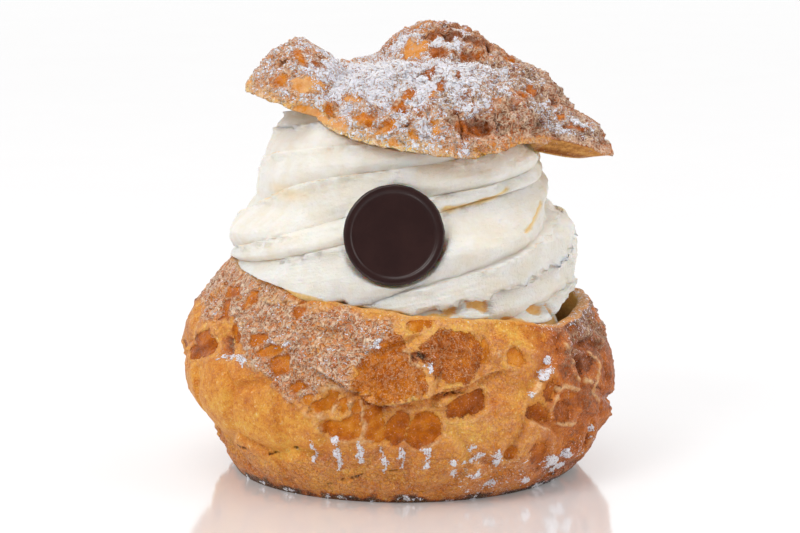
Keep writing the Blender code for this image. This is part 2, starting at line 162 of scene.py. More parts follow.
# Smooth, glossy panels in the shell's crust, from which the skin has pulled away: how brown, then bearings
# in degrees and heights in mm round each outline
PANELS = (
    (0.69, ((-71, 28), (-74.5, 29.5), (-69.5, 32.5), (-67.5, 34.5), (-64, 35), (-62, 33), (-59.5, 31),
        (-64, 29.5))),
    (0.64, ((-56.5, 34.5), (-56, 37), (-53.5, 37.5), (-50.5, 36), (-52.5, 34), (-55, 33.5))),
    (0.57, ((-54, 42.5), (-54, 44.5), (-51.5, 44.5), (-51, 43), (-52.5, 41.5))),
    (0.63, ((-64, 42.5), (-66, 44), (-60, 44.5), (-58.5, 43.5))),
    (0.68, ((-63, 38), (-65, 41), (-61.5, 42), (-58.5, 39))),
    (0.63, ((-33, 43), (-31.5, 44), (-30, 42.5), (-31.5, 41))),
    (0.59, ((-45, 36), (-41.5, 36.5), (-40, 36), (-42, 34.5), (-45, 34.5))),
    (0.58, ((-41.5, 33), (-38.5, 34.5), (-33.5, 35), (-35.5, 33.5), (-39, 32.5))),
    (0.61, ((-35.5, 30.5), (-35.5, 32.5), (-32, 33), (-31.5, 30), (-34, 29))),
    (0.58, ((-30, 26.5), (-27, 28), (-25.5, 27), (-27.5, 26))),
    (0.52, ((-25.5, 24), (-24.5, 25), (-23, 25), (-23.5, 23.5))),
    (0.58, ((-23.5, 22), (-23, 23.5), (-21, 24), (-19, 25.5), (-17.5, 27.5), (-16.5, 26.5), (-17.5, 24.5),
        (-19, 23), (-21.5, 22))),
    (0.6, ((-21, 19), (-19, 20), (-15.5, 20), (-13, 21), (-11, 22.5), (-10.5, 21), (-11, 19.5), (-10, 18),
        (-11.5, 17), (-14.5, 16.5), (-17.5, 17))),
    (0.58, ((-16, 24), (-14, 25), (-13.5, 23), (-15, 22.5))),
    (0.57, ((-12, 24), (-10.5, 25), (-10, 23), (-11.5, 22.5))),
    (0.61, ((-9, 22.5), (-5.5, 23.5), (-5, 21.5), (-5, 16.5), (-7, 16), (-9, 17), (-10, 18.5),
        (-8.5, 20.5))),
    (0.68, ((-3.5, 19.5), (-2, 21), (0, 22.5), (2, 21.5), (2, 20), (1, 18.5), (1, 16.5), (-1, 15.5),
        (-2.5, 16), (-4, 17.5))),
    (0.63, ((2.5, 19.5), (4, 21), (6.5, 22), (9, 21.5), (10.5, 20), (10.5, 17.5), (9, 16), (6.5, 15),
        (3, 15), (2, 17))),
    (0.71, ((13, 24), (14.5, 25), (18, 25.5), (22.5, 26), (23, 24.5), (22.5, 23), (20, 21.5), (16.5, 21),
        (13.5, 21), (12.5, 22.5))),
    (0.57, ((3, 41), (6.5, 42), (10, 41.5), (8, 40.5), (4.5, 39.5), (2, 40))),
    (0.58, ((31, 33.5), (33, 34.5), (35, 33.5), (36, 31.5), (33.5, 31), (31, 32))),
    (0.68, ((35.5, 20.5), (36.5, 22), (38.5, 23), (40.5, 21.5), (42.5, 20), (43, 18), (39.5, 17.5),
        (36.5, 18.5))),
    (0.72, ((43.5, 20), (44.5, 21.5), (48, 22), (50.5, 20.5), (51, 18), (49.5, 16.5), (45.5, 17.5))),
    (0.74, ((39.5, 24.5), (41.5, 26), (44, 27), (46, 25), (44, 23.5), (41.5, 22.5), (40, 23.5))),
    (0.67, ((46, 23), (49, 23.5), (54, 23), (56.5, 20.5), (53.5, 19.5), (50, 21))),
    (0.79, ((58, 29.5), (63, 30), (66.5, 29.5), (66, 27), (62.5, 26), (58, 26.5), (56, 28))),
    (0.67, ((36.5, 11.5), (38, 13.5), (42, 13.5), (43, 11.5), (42, 9.5), (43.5, 6.5), (38, 8.5))),
    (0.59, ((29.5, 12), (31, 13), (32, 12.5), (31, 11), (30, 11))),
    (0.8, ((63.5, 9.5), (62, 12), (64, 12.5), (65.5, 10.5), (66, 8))),
    (0.7, ((58.5, 36.5), (64.5, 37), (64, 35.5), (60, 35))),
    (0.74, ((51, 36), (53.5, 35), (52, 33.5), (49.5, 33), (48.5, 34.5))),
    (0.72, ((60, 32), (72.5, 32), (75.5, 30), (67.5, 29.5), (61, 30.5))),
    (0.5, ((24, 35.5), (25, 36.5), (25.5, 34.5), (25, 32), (23.5, 32))),
    (0.7, ((64, 19.5), (69, 20.5), (89, 15.5), (75.5, 14.5), (71, 14.5))),
)
# How many more panels lie round the sides and the back
BACK_PANELS = 60
# Raised, grainy plates of skin over them
PLATES = (
    (0.62, ((-11.5, 30), (-11, 32.5), (-9, 34), (-7, 35.5), (-5.5, 37.5), (-2.5, 39), (-0.5, 39), (1, 37),
        (1.5, 35), (3.5, 34), (5, 33), (6, 31), (7, 28), (6, 26.5), (3.5, 26), (1, 26), (-1.5, 25),
        (-4, 24), (-7.5, 24.5), (-10, 26), (-11.5, 27.5))),
    (0.66, ((5.5, 36), (8, 37.5), (10.5, 38.5), (12, 39.5), (15.5, 39), (20, 38.5), (23, 36.5), (24.5, 35),
        (24, 33), (22, 31.5), (20, 29.5), (16, 29), (12.5, 29), (10, 30), (7.5, 32.5), (6.5, 34))),
)
# Where pale, winding lines of dried skin stand out most, where the skin is thin and yellow, and where it
# is dull
FROSTED = (
    (-92, 39), (-90, 54), (-56.5, 50), (-40, 46), (-30, 43.5), (-16.5, 42.5), (-2.5, 41), (-1, 38.5),
    (-4, 37.5), (-6.5, 35.5), (-9, 34), (-12.5, 31.5), (-13.5, 27), (-18.5, 28), (-22, 26), (-25, 25),
    (-29, 24), (-35, 26.5), (-38.5, 29.5), (-44, 31), (-49.5, 33.5), (-56, 38.5), (-69.5, 37),
)
YELLOW = (
    (28.5, 40.5), (36.5, 39.5), (41.5, 38), (48, 36), (44, 34.5), (37, 34.5), (33, 35.5), (29.5, 37.5),
)
DULL = (
    (11.5, 17), (13, 19.5), (16.5, 20.5), (20.5, 20.5), (25, 20), (26.5, 17.5), (24, 15.5), (21, 15),
    (17.5, 13.5), (14, 12), (11.5, 14),
)
# Raised, pale seams between the panels, and dark cracks, as bearings and heights from end to end
SEAMS = (
    ((22.3, 26.2), (24.4, 29.6), (26.5, 33.7)),
    ((-44.5, 31), (-38.5, 29.5), (-34.5, 27), (-31, 25), (-27, 24), (-24, 21.5), (-21.5, 19), (-20, 17.5),
     (-18.5, 16)),
    ((-18.5, 16), (-14.5, 16), (-10, 16), (-5.5, 16), (-3, 15), (0.5, 14.5), (3, 14), (7, 14.5), (10, 16),
     (11.5, 18), (12, 20.5), (11.5, 22.5)),
    ((-10, 25), (-9.5, 22.5), (-9, 19.5), (-10, 16.5)),
    ((-4.5, 22.5), (-4.5, 19.5), (-4.5, 16.5)),
    ((-15, 26), (-16.5, 24.5), (-17.5, 22.5), (-20, 20.5)),
    ((-12.5, 25), (-13, 23.5), (-13, 21.5)),
    ((1.5, 21.5), (2.5, 19.5), (1.5, 18), (1.5, 16), (1, 14)),
    ((-26.5, 26), (-24.5, 23), (-22, 21.5), (-18.5, 21.5), (-16.5, 24), (-15.5, 27), (-18.5, 28),
     (-22.5, 25)),
    ((28, 34), (26.5, 32), (25, 30), (24.5, 28.5), (23, 27)),
    ((1, 37.5), (2, 35.5), (3.5, 33), (6.5, 32.5), (7, 31), (8, 28.5)),
    ((-51, 44), (-52, 41.5), (-50, 39), (-49.5, 36), (-49.5, 33.5), (-47, 31.5)),
    ((-48, 44), (-38, 44), (-30.5, 43.5), (-22, 43.5)),
    ((24.5, 26), (24, 23), (22.5, 21.5), (19, 20.5), (15, 20)),
    ((35, 23.5), (35, 20.5), (36, 18), (41, 16.5), (46, 16.5), (55, 15.5), (56.5, 18), (58, 20),
     (56.5, 22.5), (49, 24.5), (45, 24.5)),
    ((40.5, 28), (38.5, 25.5), (36, 24)),
    ((42.5, 20), (43.5, 21.5), (45.5, 23)),
    ((65.5, 30), (68.5, 27), (65.5, 24), (61, 21.5), (67.5, 18.5)),
    ((53.5, 33), (57, 31), (52.5, 28.5), (54, 26), (61.5, 24)),
    ((65, 13.5), (66.5, 10.5), (66, 8)),
)
CRACKS = (
    ((-13, 27), (-11, 26.5), (-9, 25.5), (-7, 24), (-4.5, 23.5), (-2.5, 24), (-0.5, 24.5), (2.5, 24.5),
     (4.5, 25.5), (6.5, 26), (10, 25.5), (13, 26), (16.5, 26.5), (19.5, 26.5), (22.5, 26.5)),
    ((3, 24.5), (3.5, 23)),
    ((-39.5, 10.5), (-35.5, 11), (-32, 12), (-28.5, 12.5), (-23.5, 14)),
    ((-31, 4.5), (-27.5, 5.5), (-25, 4.5), (-22, 4), (-19, 5), (-16, 6), (-11, 7), (-4.5, 8), (-0.5, 9)),
    ((-78, 9), (-62, 10), (-49, 10.5)),
    ((52.5, 29.5), (52.5, 27.5)),
    ((65, 22.5), (67.5, 21)),
    ((57, 16), (58.5, 17.5)),
    ((32, 20), (35, 18.5)),
    ((41, 26), (39, 27), (37.5, 27)),
    ((59, 3), (51, 3), (40, 2), (32, 2.5)),
)
# Where powdered sugar sticks to the shell: outlines as above
SUGAR_MARKS = (
    ((-56.5, 30.5), (-53, 31.5), (-47, 32), (-44, 31), (-45, 30), (-49, 31), (-53.5, 29.5)),
    ((-41, 35.5), (-36.5, 36), (-31, 36), (-34.5, 35.5), (-39, 35)),
    ((-23.5, 15.5), (-23, 15), (-23, 12), (-23.5, 10), (-24.5, 10.5), (-23.5, 13.5)),
    ((-17, 15), (-16, 14.5), (-15.5, 11.5), (-17.5, 8), (-18, 10), (-17.5, 13)),
    ((-11, 16), (-10, 15.5), (-9.5, 13.5), (-10, 10), (-11.5, 10), (-11.5, 13.5)),
    ((-6, 15), (-5, 14.5), (-4, 12.5), (-3, 11), (-4, 8.5), (-5, 7), (-5, 9.5), (-5.5, 12)),
    ((0.5, 14.5), (1, 14), (1.5, 11.5), (0.5, 9.5), (0, 12)),
    ((6, 14), (8, 14.5), (8, 13), (6.5, 13)),
    ((6, 12), (8, 12.5), (8, 10), (6.5, 9)),
    ((18, 14), (19.5, 15), (20.5, 14), (19, 13)),
    ((17, 11), (20, 11.5), (21.5, 13), (23, 12), (21.5, 10.5), (17.5, 10)),
    ((13.5, 11.5), (15.5, 11.5), (15, 10), (14, 10)),
    ((14, 8.5), (16, 9), (16, 7), (15.5, 6)),
    ((17.5, 7.5), (20, 7.5), (22, 8.5), (22.5, 7), (19.5, 6.5)),
    ((25.5, 12.5), (26.5, 13), (28, 11.5), (28, 9), (26.5, 9.5)),
    ((25, 4.5), (27.5, 5.5), (29, 4.5), (27.5, 3.5)),
    ((37, 3.5), (37, 5.5), (40, 4.5), (42, 3), (40.5, 2.5)),
    ((42.5, 8), (43, 10), (46, 9.5), (51.5, 7.5), (52, 6), (48, 6)),
    ((51.5, 8), (52, 9.5), (54.5, 9.5), (56.5, 7.5), (54.5, 7)),
    ((39, 28), (41.5, 29), (45, 30), (45, 29), (42.5, 28), (40, 27.5)),
    ((42.5, 30), (44, 31.5), (46.5, 31.5), (45, 30)),
    ((34.5, 25), (36, 25.5), (37.5, 25), (36, 24.5)),
    ((1.5, 1), (2, 2), (3, 1)),
    ((63.5, 13.5), (65.5, 13.5), (66.5, 11), (67.5, 9)),
    ((6.5, 32.5), (8.5, 33), (8.5, 31.5), (7.5, 31)),
    ((-8, 36), (-6.5, 37.5), (-4.5, 38), (-6, 36)),
    ((-18.5, 16.5), (-16.5, 17), (-15.5, 16), (-17.5, 15.5)),
    ((18.5, 2.5), (20.5, 3.5), (21, 2)),
    ((50.5, 4.5), (53, 6), (56, 6), (58.5, 4)),
)

# Places on the lid, as bearing and angle from straight up in degrees at the lid's heart.
# Bare patches: how brown, and their outlines
BARE_PATCHES = (
    (0.4, ((-61, 49), (-59, 46.5), (-57.5, 44), (-56, 43.5), (-54.5, 45), (-54, 48.5), (-55, 51),
        (-57, 51), (-59, 51))),
    (0.54, ((-65, 52.5), (-66, 50.5), (-65, 48), (-62.5, 48.5), (-61, 50.5), (-61.5, 52))),
    (0.6, ((-48, 53.5), (-49, 51), (-48.5, 49), (-44.5, 51), (-39, 55.5), (-44, 55.5))),
    (0.46, ((-56.5, 58), (-54.5, 54.5), (-52, 52.5), (-40.5, 55), (-33, 54), (-27.5, 60), (-33, 60.5),
        (-41.5, 58.5))),
    (0.57, ((-28.5, 54.5), (-23, 54), (-19.5, 54.5), (-17.5, 56.5), (-19.5, 58.5), (-24, 58.5),
        (-28.5, 56.5))),
    (0.51, ((-18, 59.5), (-14.5, 57.5), (-10, 56.5), (-9.5, 59), (-13.5, 60.5), (-17.5, 62.5))),
    (0.48, ((-93.5, 8), (-126.5, 6), (-107, 1.5), (144.5, 2), (89, 3), (30, 4.5), (-3.5, 7), (-2.5, 18.5),
        (-16.5, 16), (-69.5, 8))),
    (0.7, ((154.5, 1.5), (146.5, 6), (117.5, 10.5), (108, 14), (100.5, 14.5), (99.5, 10.5), (102.5, 6.5),
        (95.5, 3.5))),
    (0.66, ((30, 5.5), (50.5, 9.5), (55, 12.5), (81.5, 17.5), (92, 23.5), (80.5, 21.5), (67, 15.5),
        (45, 12), (21, 10.5))),
    (0.77, ((99, 14.5), (106.5, 18.5), (116.5, 24.5), (107, 26.5), (98, 24), (91, 20), (92, 16))),
    (0.66, ((-1, 38), (2, 34.5), (9.5, 29), (7, 35.5), (3.5, 40), (-0.5, 40))),
    (0.6, ((-9.5, 48), (-7.5, 44), (-2.5, 45), (-1, 47), (-5.5, 49), (-8.5, 49.5))),
    (0.62, ((6.5, 41), (10, 40), (9.5, 45), (6.5, 46))),
    (0.72, ((17, 37.5), (22.5, 34.5), (19.5, 40), (16.5, 41.5))),
    (0.6, ((-12.5, 51.5), (-8.5, 50), (-5.5, 52), (-7.5, 54), (-11, 53.5))),
    (0.5, ((1.5, 47.5), (4.5, 46.5), (5, 49), (2, 49.5))),
    (0.66, ((11, 57), (16, 57), (22, 56.5), (27, 57), (28, 59.5), (25, 61.5), (20, 62), (14.5, 62),
        (11.5, 60))),
    (0.48, ((32.5, 65.5), (38, 65), (45, 65.5), (63.5, 65), (31.5, 66.5))),
    (0.62, ((46, 45.5), (64, 43.5), (58, 48), (48.5, 50), (47, 48))),
    (0.64, ((81, 41.5), (81.5, 43.5), (80.5, 46), (81.5, 48.5), (75.5, 47), (76, 44))),
    (0.7, ((84.5, 50), (89, 53), (91.5, 56.5), (86.5, 55), (84, 52.5))),
    (0.66, ((79.5, 62), (83, 64.5), (84.5, 66.5), (80.5, 66), (77.5, 63))),
    (0.57, ((82, 57), (85, 59), (81.5, 60.5), (80, 59.5))),
    (0.6, ((106.5, 30.5), (110, 34.5), (107.5, 37.5), (105.5, 34.5), (104.5, 31.5))),
    (0.56, ((-71.5, 41.5), (-74, 39.5), (-68.5, 40.5), (-65.5, 41.5), (-66, 43), (-69, 42.5))),
    (0.62, ((-83.5, 56.5), (-78, 56.5), (-79, 57.5))),
    (0.7, ((-65, 40), (-64, 38), (-62.5, 38), (-61, 40), (-62, 40.5))),
    (0.44, ((-40, 45.5), (-33, 45.5), (-29, 47.5), (-33, 49), (-41.5, 47))),
    (0.46, ((3, 57), (6, 56), (6, 60.5), (3.5, 62))),
    (0.49, ((-5.5, 60.5), (-3, 60), (-2, 62.5), (-4.5, 63))),
    (0.52, ((-13, 63.5), (-10, 63), (-8, 65), (-10.5, 65.5))),
)
# Where sugar lies thicker: how much, and the outlines
THICK_SUGAR = (
    (0.5, ((-63.5, 38), (-115.5, 33), (-116, 21), (-26, 19), (6.5, 24.5), (58.5, 17), (88, 29.5), (83, 37),
        (43, 46), (31.5, 52.5), (22.5, 54), (18, 55.5), (15, 53), (9.5, 52), (9.5, 46.5), (7, 43),
        (2, 49.5), (-3.5, 52.5), (-10, 49), (-14, 52.5), (-21, 51), (-31.5, 45), (-43.5, 45),
        (-50.5, 46.5), (-53.5, 48), (-55.5, 43))),
    (0.45, ((-63, 53.5), (-58, 52.5), (-54.5, 51.5), (-53, 49), (-50.5, 49), (-51.5, 52.5), (-55, 53),
        (-59, 55), (-62, 54.5))),
    (0.6, ((-44.5, 48), (-36, 50), (-26.5, 53), (-22, 53), (-22.5, 54), (-29, 53.5), (-42, 50))),
    (0.5, ((-78.5, 48.5), (-74.5, 44), (-75, 40.5), (-78.5, 37.5), (-74.5, 39.5), (-73, 45), (-76.5, 50),
        (-80, 53.5))),
    (0.45, ((-64, 44), (-61, 41.5), (-60.5, 39.5), (-57.5, 42), (-59, 45), (-63, 46))),
    (0.4, ((103, 3.5), (90, 9.5), (86.5, 14), (72.5, 13.5), (51.5, 8), (49, 3.5))),
    (0.3, ((-105.5, 11.5), (-133.5, 10.5), (-151.5, 13), (-116.5, 7), (-85, 9), (-101.5, 13.5))),
    (0.3, ((90, 29.5), (89, 36.5), (88.5, 44.5), (84.5, 51), (78.5, 52), (56.5, 49), (69, 41.5),
        (65, 36.5))),
    (0.36, ((55, 50), (80, 52), (89, 57), (94, 64), (86, 69), (84.5, 71.5), (80.5, 69), (78, 63.5),
        (74.5, 60), (54, 57), (49, 54))),
    (0.4, ((56.5, 59.5), (78.5, 60.5), (75.5, 64.5), (71.5, 61))),
    (0.5, ((-1.5, 40), (3.5, 41), (5, 45), (0.5, 49.5), (-3, 50.5), (-1, 46))),
    (0.55, ((-9.5, 52.5), (-6.5, 53.5), (-7, 56), (-10.5, 54))),
    (0.55, ((-9.5, 57), (-7, 57.5), (-7.5, 60), (-9.5, 60))),
    (0.45, ((-0.5, 57), (3.5, 58), (2.5, 61.5), (0.5, 64), (-2, 61.5))),
    (0.6, ((-6.5, 64.5), (-4, 64), (-3, 65), (-5, 66))),
    (0.6, ((13, 66.5), (16, 66.5), (15.5, 68), (13, 68))),
    (0.45, ((-1, 65.5), (3, 66), (5.5, 67), (1.5, 67.5))),
    (0.4, ((-35.5, 53.5), (-30, 54), (-27.5, 58), (-30.5, 58.5))),
    (0.4, ((83, 57.5), (87.5, 61.5), (92, 66), (84, 65.5), (81.5, 60.5))),
)
# Dark cracks in the lid's skin
LID_CRACKS = (
    ((-72.5, 49.5), (-73, 48), (-72, 46), (-70, 44.5), (-69, 43)),
    ((-75, 36.5), (-75, 35), (-73.5, 34)),
    ((-77, 37.5), (-84, 36), (-76.5, 36.5)),
    ((153, 3), (136, 5), (120, 7), (116, 10.5)),
    ((101, 19.5), (106, 23), (106, 26)),
    ((-8.5, 54.5), (-6.5, 55)),
    ((-7, 58), (-5.5, 58.5)),
    ((-10, 60.5), (-8, 60.5)),
    ((12, 55), (13.5, 56.5), (14, 59), (15, 62)),
    ((104, 29), (107.5, 33), (106.5, 36)),
    ((87.5, 50.5), (89, 54), (90.5, 56.5)),
    ((79, 36), (47.5, 45), (54.5, 45), (52, 50)),
    ((79.5, 62), (82, 64), (83.5, 66)),
    ((-1.5, 37.5), (3, 33.5), (11, 25.5)),
    ((-4.5, 39.5), (-1.5, 40.5), (3.5, 40.5)),
    ((30, 54), (30.5, 56.5), (29.5, 59.5)),
    ((48, 54), (48, 58), (48, 61)),
)
# Hollows in the lid's skin, darkened with painted shade: half width, half height, turn and depth
LID_DENTS = (
    (22.1, 58.4, 3.2, 1.7, 0, 2.0),
    (-71.4, 35.9, 1.5, 1.1, -30, 1.6),
    (120.0, 9.0, 4.4, 0.9, 0, 1.3),
    (-71.0, 46.6, 2.6, 0.8, 35, 0.7),
    (-45.0, 50.6, 1.7, 1.6, 0, 0.8),
    (55.0, 17.0, 7.5, 1.2, 10, 0.8),
    (88.0, 53.6, 2.4, 0.9, -30, 0.9),
)

# The crease between the lid's rear hump and its front crest, and grooves down its front, darkened with
# painted shade: depth in mm and places from end to end
LID_CREASES = (
    (0.9, ((-60, 14.0), (-20.9, 18.1), (-5.9, 25.9), (7.0, 22.0), (42.8, 12.7), (62.0, 16.1), (80.4, 22.3),
           (88.6, 27.6), (90.0, 36.0))),
    (0.9, ((93.3, 42.6), (80.0, 51.0), (77.5, 57.0), (71.5, 61.2), (72.0, 67.0))),
    (0.5, ((-16.0, 36.0), (-8.0, 44.0), (-3.0, 50.0))),
    (0.5, ((9.0, 46.0), (12.0, 52.0), (10.0, 58.0))),
)
# Crests that stand out of the lid's lobes and flats between them: place, height and width in mm
LID_CRESTS = (
    ((-21.5, -1.0, 98.5), 1.6, 3.4),
    ((-31.0, -1.0, 95.0), -1.3, 4.5),
    ((-3.5, 8.0, 97.0), -1.2, 3.6),
    ((11.0, 8.0, 100.0), -0.9, 9.0),
    ((35.5, 4.0, 81.5), -1.2, 5.0),
)

# Sharp folds in the cream, with yellow painted shade along them, as bearings and heights from end to end
CREAM_FOLDS = (
    ((17, 64.6), (24, 64.7), (36, 65.9), (44, 67.6)),
    ((46, 58.6), (51, 60.0), (57, 61.7), (62, 63.2)),
)

# Where yellow painted shade lies in the cream's grooves: bearing, height, half width and half height
CREAM_YELLOW_SHADES = (
    (-50.0, 66.3, 6.5, 1.3),
    (19.0, 64.2, 1.6, 0.8),
)

# Tongues of cream that hang from the second lobe's lip on to the rim: bearing, half width and length
CREAM_TONGUES = (
    (-76.0, 12.0, 3.0),
    (-52.0, 11.0, 3.8),
    (-30.0, 8.0, 3.8),
    (-8.0, 9.0, 1.6),
)

# Pits torn in the cream over the shell's rim: bearing, height, half width, half height and depth
CREAM_PITS = (
    (16.0, 42.4, 1.6, 1.2, 1.26),
    (27.0, 43.3, 2.2, 1.2, 1.26),
    (50.5, 40.4, 1.8, 1.3, 1.40),
    (58.0, 39.0, 1.0, 1.4, 1.12),
    (-47.0, 45.6, 2.6, 1.0, 1.12),
    (-25.0, 44.2, 1.4, 1.3, 1.26),
    (-31.0, 44.2, 0.9, 1.5, 1.12),
)

# How finely the crusts and the cream are cut into faces
BASE_COLUMNS = 560
BASE_ROWS = 148
UNDER_ROWS = 5
LID_COLUMNS = 500
LID_ROWS = 150
TORN_ROWS = 8
INSIDE_ROWS = 12
LID_INSIDE_ROWS = 24
CAP_ROWS = 24
CREAM_COLUMN = 0.00021
CREAM_ROW = 0.00014
DISC_COLUMNS = 200

# The smooth bulges on the shell's left, and a slot and a pit in it: bearing and height, then half width,
# half height and turn, and for the last two also how wavy and soft their edges are, how deep, and how much
# painted shade darkens them
BULGES = (
    ((-54, 20), (20, 9.0)),
    ((-31, 15), (10, 5.5, 25)),
)
SHELL_PITS = (
    ((-55.5, 32.4), (3.8, 1.1, -35), 1.0, 0.6, 1.8, 0.36),
    ((4.9, 34.3), (1.5, 0.7, -10), 0.5, 0.5, 1.0, 0.30),
)
# Painted shade: the lid is darker round this place, and has less sugar
LID_SHADE = (0.025, -0.030, 0.080)
LID_SHADE_WIDTH = 0.009

# Distances in mm: one that means that nothing is near, and how far into a panel its edge reaches
FAR = 9.0
PANEL_REACH = 4.0
# What the crust's material reads inside the shell, inside the lid and under the foot
CRUMB_VALUES = {"bake": 0.10, "skin": 0.10, "panel": -PANEL_REACH, "bloom": 0.2, "craze": 0.0, "crack": FAR,
                "seam": FAR, "sugar": 0.0, "crumb": 1.0}
LID_CRUMB_VALUES = {**CRUMB_VALUES, "bake": 0.30, "skin": 0.30, "bloom": 0.1}
UNDER_VALUES = {**CRUMB_VALUES, "bake": 0.70, "skin": 0.70, "bloom": 0.3, "craze": 0.5, "crumb": 0.0}

# Sugar grains: how many, and the smallest and the largest; they lie where a crust's sugar is above a value
LID_GRAINS = (5200, 0.10 * MM, 0.26 * MM)
BASE_GRAINS = (900, 0.10 * MM, 0.24 * MM)
GRAINS_ABOVE = 0.35

# How many mm a degree takes up along the shell and along the lid
SHELL_DEGREE = 0.85
LID_DEGREE = 0.62

UP = np.array((0, 0, 1.0))
WHITE = (1, 1, 1, 1)
rng = np.random.default_rng(20)


# Shared shape functions

def around(bearing, sides):
    """A size at a bearing, from its values at the front, right, back and left."""
    front, right, back, left = sides
    mean = (front + right + back + left) / 4
    ovalness = (front + back - right - left) / 4
    across = (front - back) / 2 * np.cos(bearing) + (right - left) / 2 * np.sin(bearing)
    return mean + across + ovalness * np.cos(2 * bearing)


def ease(x):
    """A smooth step from 0 to 1 as x goes from 0 to 1."""
    x = np.clip(x, 0, 1)
    return x * x * (3 - 2 * x)


def near(bearing, middle, width):
    """1 at the middle bearing, falling smoothly to 0 a width away on each side."""
    turn = np.angle(np.exp(1j * (bearing - middle)))
    return ease(1 - np.abs(turn) / width)


def near_degrees(bearing, middle, width):
    """The same with the middle and the width in degrees."""
    return near(bearing, math.radians(middle), math.radians(width))


def between(value, start, rise, end, fall):
    """1 between two values, rising after the first and falling before the second."""
    return ease((value - start) / rise) * ease((end - value) / fall)


def bell(value, width):
    """1 where a value is 0, falling smoothly to nothing on both sides."""
    return np.exp(-((value / width) ** 2))


def blob(points, place, width):
    """1 at a place, falling smoothly to nothing all round it."""
    return np.exp(-(((points - np.array(place)) ** 2).sum(-1)) / width**2)


def in_degrees(bearing):
    """Bearings in degrees from -180 to 180."""
    return np.degrees(np.angle(np.exp(1j * bearing)))


def around_circle(columns):
    """Evenly spaced bearings."""
    return np.linspace(0, 2 * math.pi, columns, endpoint=False)


def at(bearing, radius, height):
    """Points from cylindrical coordinates."""
    bearing, radius, height = np.broadcast_arrays(bearing, radius, height)
    return np.stack([radius * np.sin(bearing), -radius * np.cos(bearing), height], axis=-1)


def lumps(points, size, octaves=2):
    """Smooth noise, about -1 to 1, with lumps of one size."""
    flat = (points.reshape(-1, 3) / size).tolist()
    values = [noise.fractal(p, 1.0, 2.0, octaves) for p in flat]
    return np.array(values).reshape(points.shape[:-1])


def ridges(points, size, octaves):
    """Winding ridges: 1 along their tops, and less than 0 away from them."""
    return 1 - 2.4 * np.abs(lumps(points, size, octaves))


def cells(points, size):
    """For the cells that a baked skin cracks into: how far inside one a point is, and the cell's number."""
    inside, number = [], []
    for p in (points.reshape(-1, 3) / size).tolist():
        distances, places = noise.voronoi(p)
        inside.append(distances[1] - distances[0])
        number.append(noise.cell(places[0] * 7.3))
    shape = points.shape[:-1]
    return np.array(inside).reshape(shape), np.array(number).reshape(shape) * 0.5 + 0.5


def rim_height(bearing):
    """The height of the shell's rim without its ragged edge."""
    return around(bearing, RIM_HEIGHT) - RIM_DIP * near(bearing, RIM_DIP_BEARING, RIM_DIP_WIDTH)


def wall_radius(bearing, height):
    """The shell's outer radius without relief."""
    belly = around(bearing, BELLY_RADIUS)
    belly_height = around(bearing, BELLY_HEIGHT)
    rim = rim_height(bearing)
    foot_share = np.clip(1 - height / belly_height, 0, 1) ** around(bearing, UNDERCUT)
    rim_share = np.clip((height - belly_height) / (rim - belly_height), 0, 1) ** SHOULDER
    below = belly - (belly - around(bearing, FOOT_RADIUS)) * foot_share
    return below - (belly - around(bearing, RIM_RADIUS)) * rim_share


def hollow(bearing, height, middle, level, half_width, half_height, depth):
    """How deep an oval hollow is in the shell's side."""
    turn = np.angle(np.exp(1j * (bearing - math.radians(middle))))
    across = turn * BELLY_RADIUS[0] / half_width
    return depth * np.exp(-(across**2) - ((height - level) / half_height) ** 2)


def ledge(bearing, height):
    """The torn ledge across the front: proud above its line and cut back beneath it."""
    above = height - np.interp(in_degrees(bearing), LEDGE_BEARINGS, LEDGE_HEIGHTS)
    proud = np.where(above > 0, np.exp(-above / 0.006), -np.exp(above / 0.003))
    middle = (LEDGE_BEARINGS[0] + LEDGE_BEARINGS[-1]) / 2
    return LEDGE_RELIEF * proud * near_degrees(bearing, middle, LEDGE_WIDTH) ** 0.5


def crusted_radius(bearing, height):
    """The shell's outer radius with the relief that its solid has."""
    smooth = wall_radius(bearing, height)
    points = at(bearing, smooth, height)
    relief = SWELL_RELIEF * lumps(points, SWELL_SIZE) + ledge(bearing, height)
    relief += PLATE_RELIEF * (ease(cells(points, PLATE_SIZE)[0] / PLATE_SEAM) - 0.7)
    for place in HOLLOWS.values():
        relief -= hollow(bearing, height, *place)
    rim_share = ease((rim_height(bearing) - height) / 0.004)
    return smooth + relief * ease(height / 0.005) * (0.4 + 0.6 * rim_share)


def cavity_radius(bearing, height):
    """The shell's inner radius, whose lower corner is rounded into the floor."""
    rim = rim_height(bearing)
    height = np.clip(height, FLOOR, rim)
    thickness = BELLY_WALL + (RIM_WALL - BELLY_WALL) * ease((height - 0.020) / (rim - 0.020))
    corner = np.clip(1 - (height - FLOOR) / BOWL_CORNER, 0, 1)
    return wall_radius(bearing, height) - thickness - BOWL_CORNER * (1 - np.sqrt(1 - corner**2))


def lid_reach(directions):
    """How far the lid's skin is from its heart: the far side of the lobes, creased where they meet."""
    total = np.zeros(directions.shape[:-1])
    for centre, half in LID_LOBES.values():
        ray = directions / np.array(half)
        start = (LID_HEART - np.array(centre)) / np.array(half)
        a = (ray * ray).sum(-1)
        b = (ray * start).sum(-1)
        inside = b * b - a * (start @ start - 1)
        reach = np.where(inside > 0, (np.sqrt(np.maximum(inside, 0)) - b) / a, 0)
        total += (np.maximum(reach, 0) * 1000) ** CREASE_SHARPNESS
    return total ** (1 / CREASE_SHARPNESS) / 1000


def above_lid_edge(points):
    """Height of points above the wavy, tilted surface in which the lid was torn off."""
    out = points - LID_HEART
    bearing = np.arctan2(out[..., 0], -out[..., 1])
    level = LID_EDGE_HEIGHT + points[..., :2] @ np.array(LID_EDGE_SLOPE)
    for middle, width, rise in LID_EDGE_WAVES:
        level = level + rise * near_degrees(bearing, middle, width)
    return points[..., 2] - level


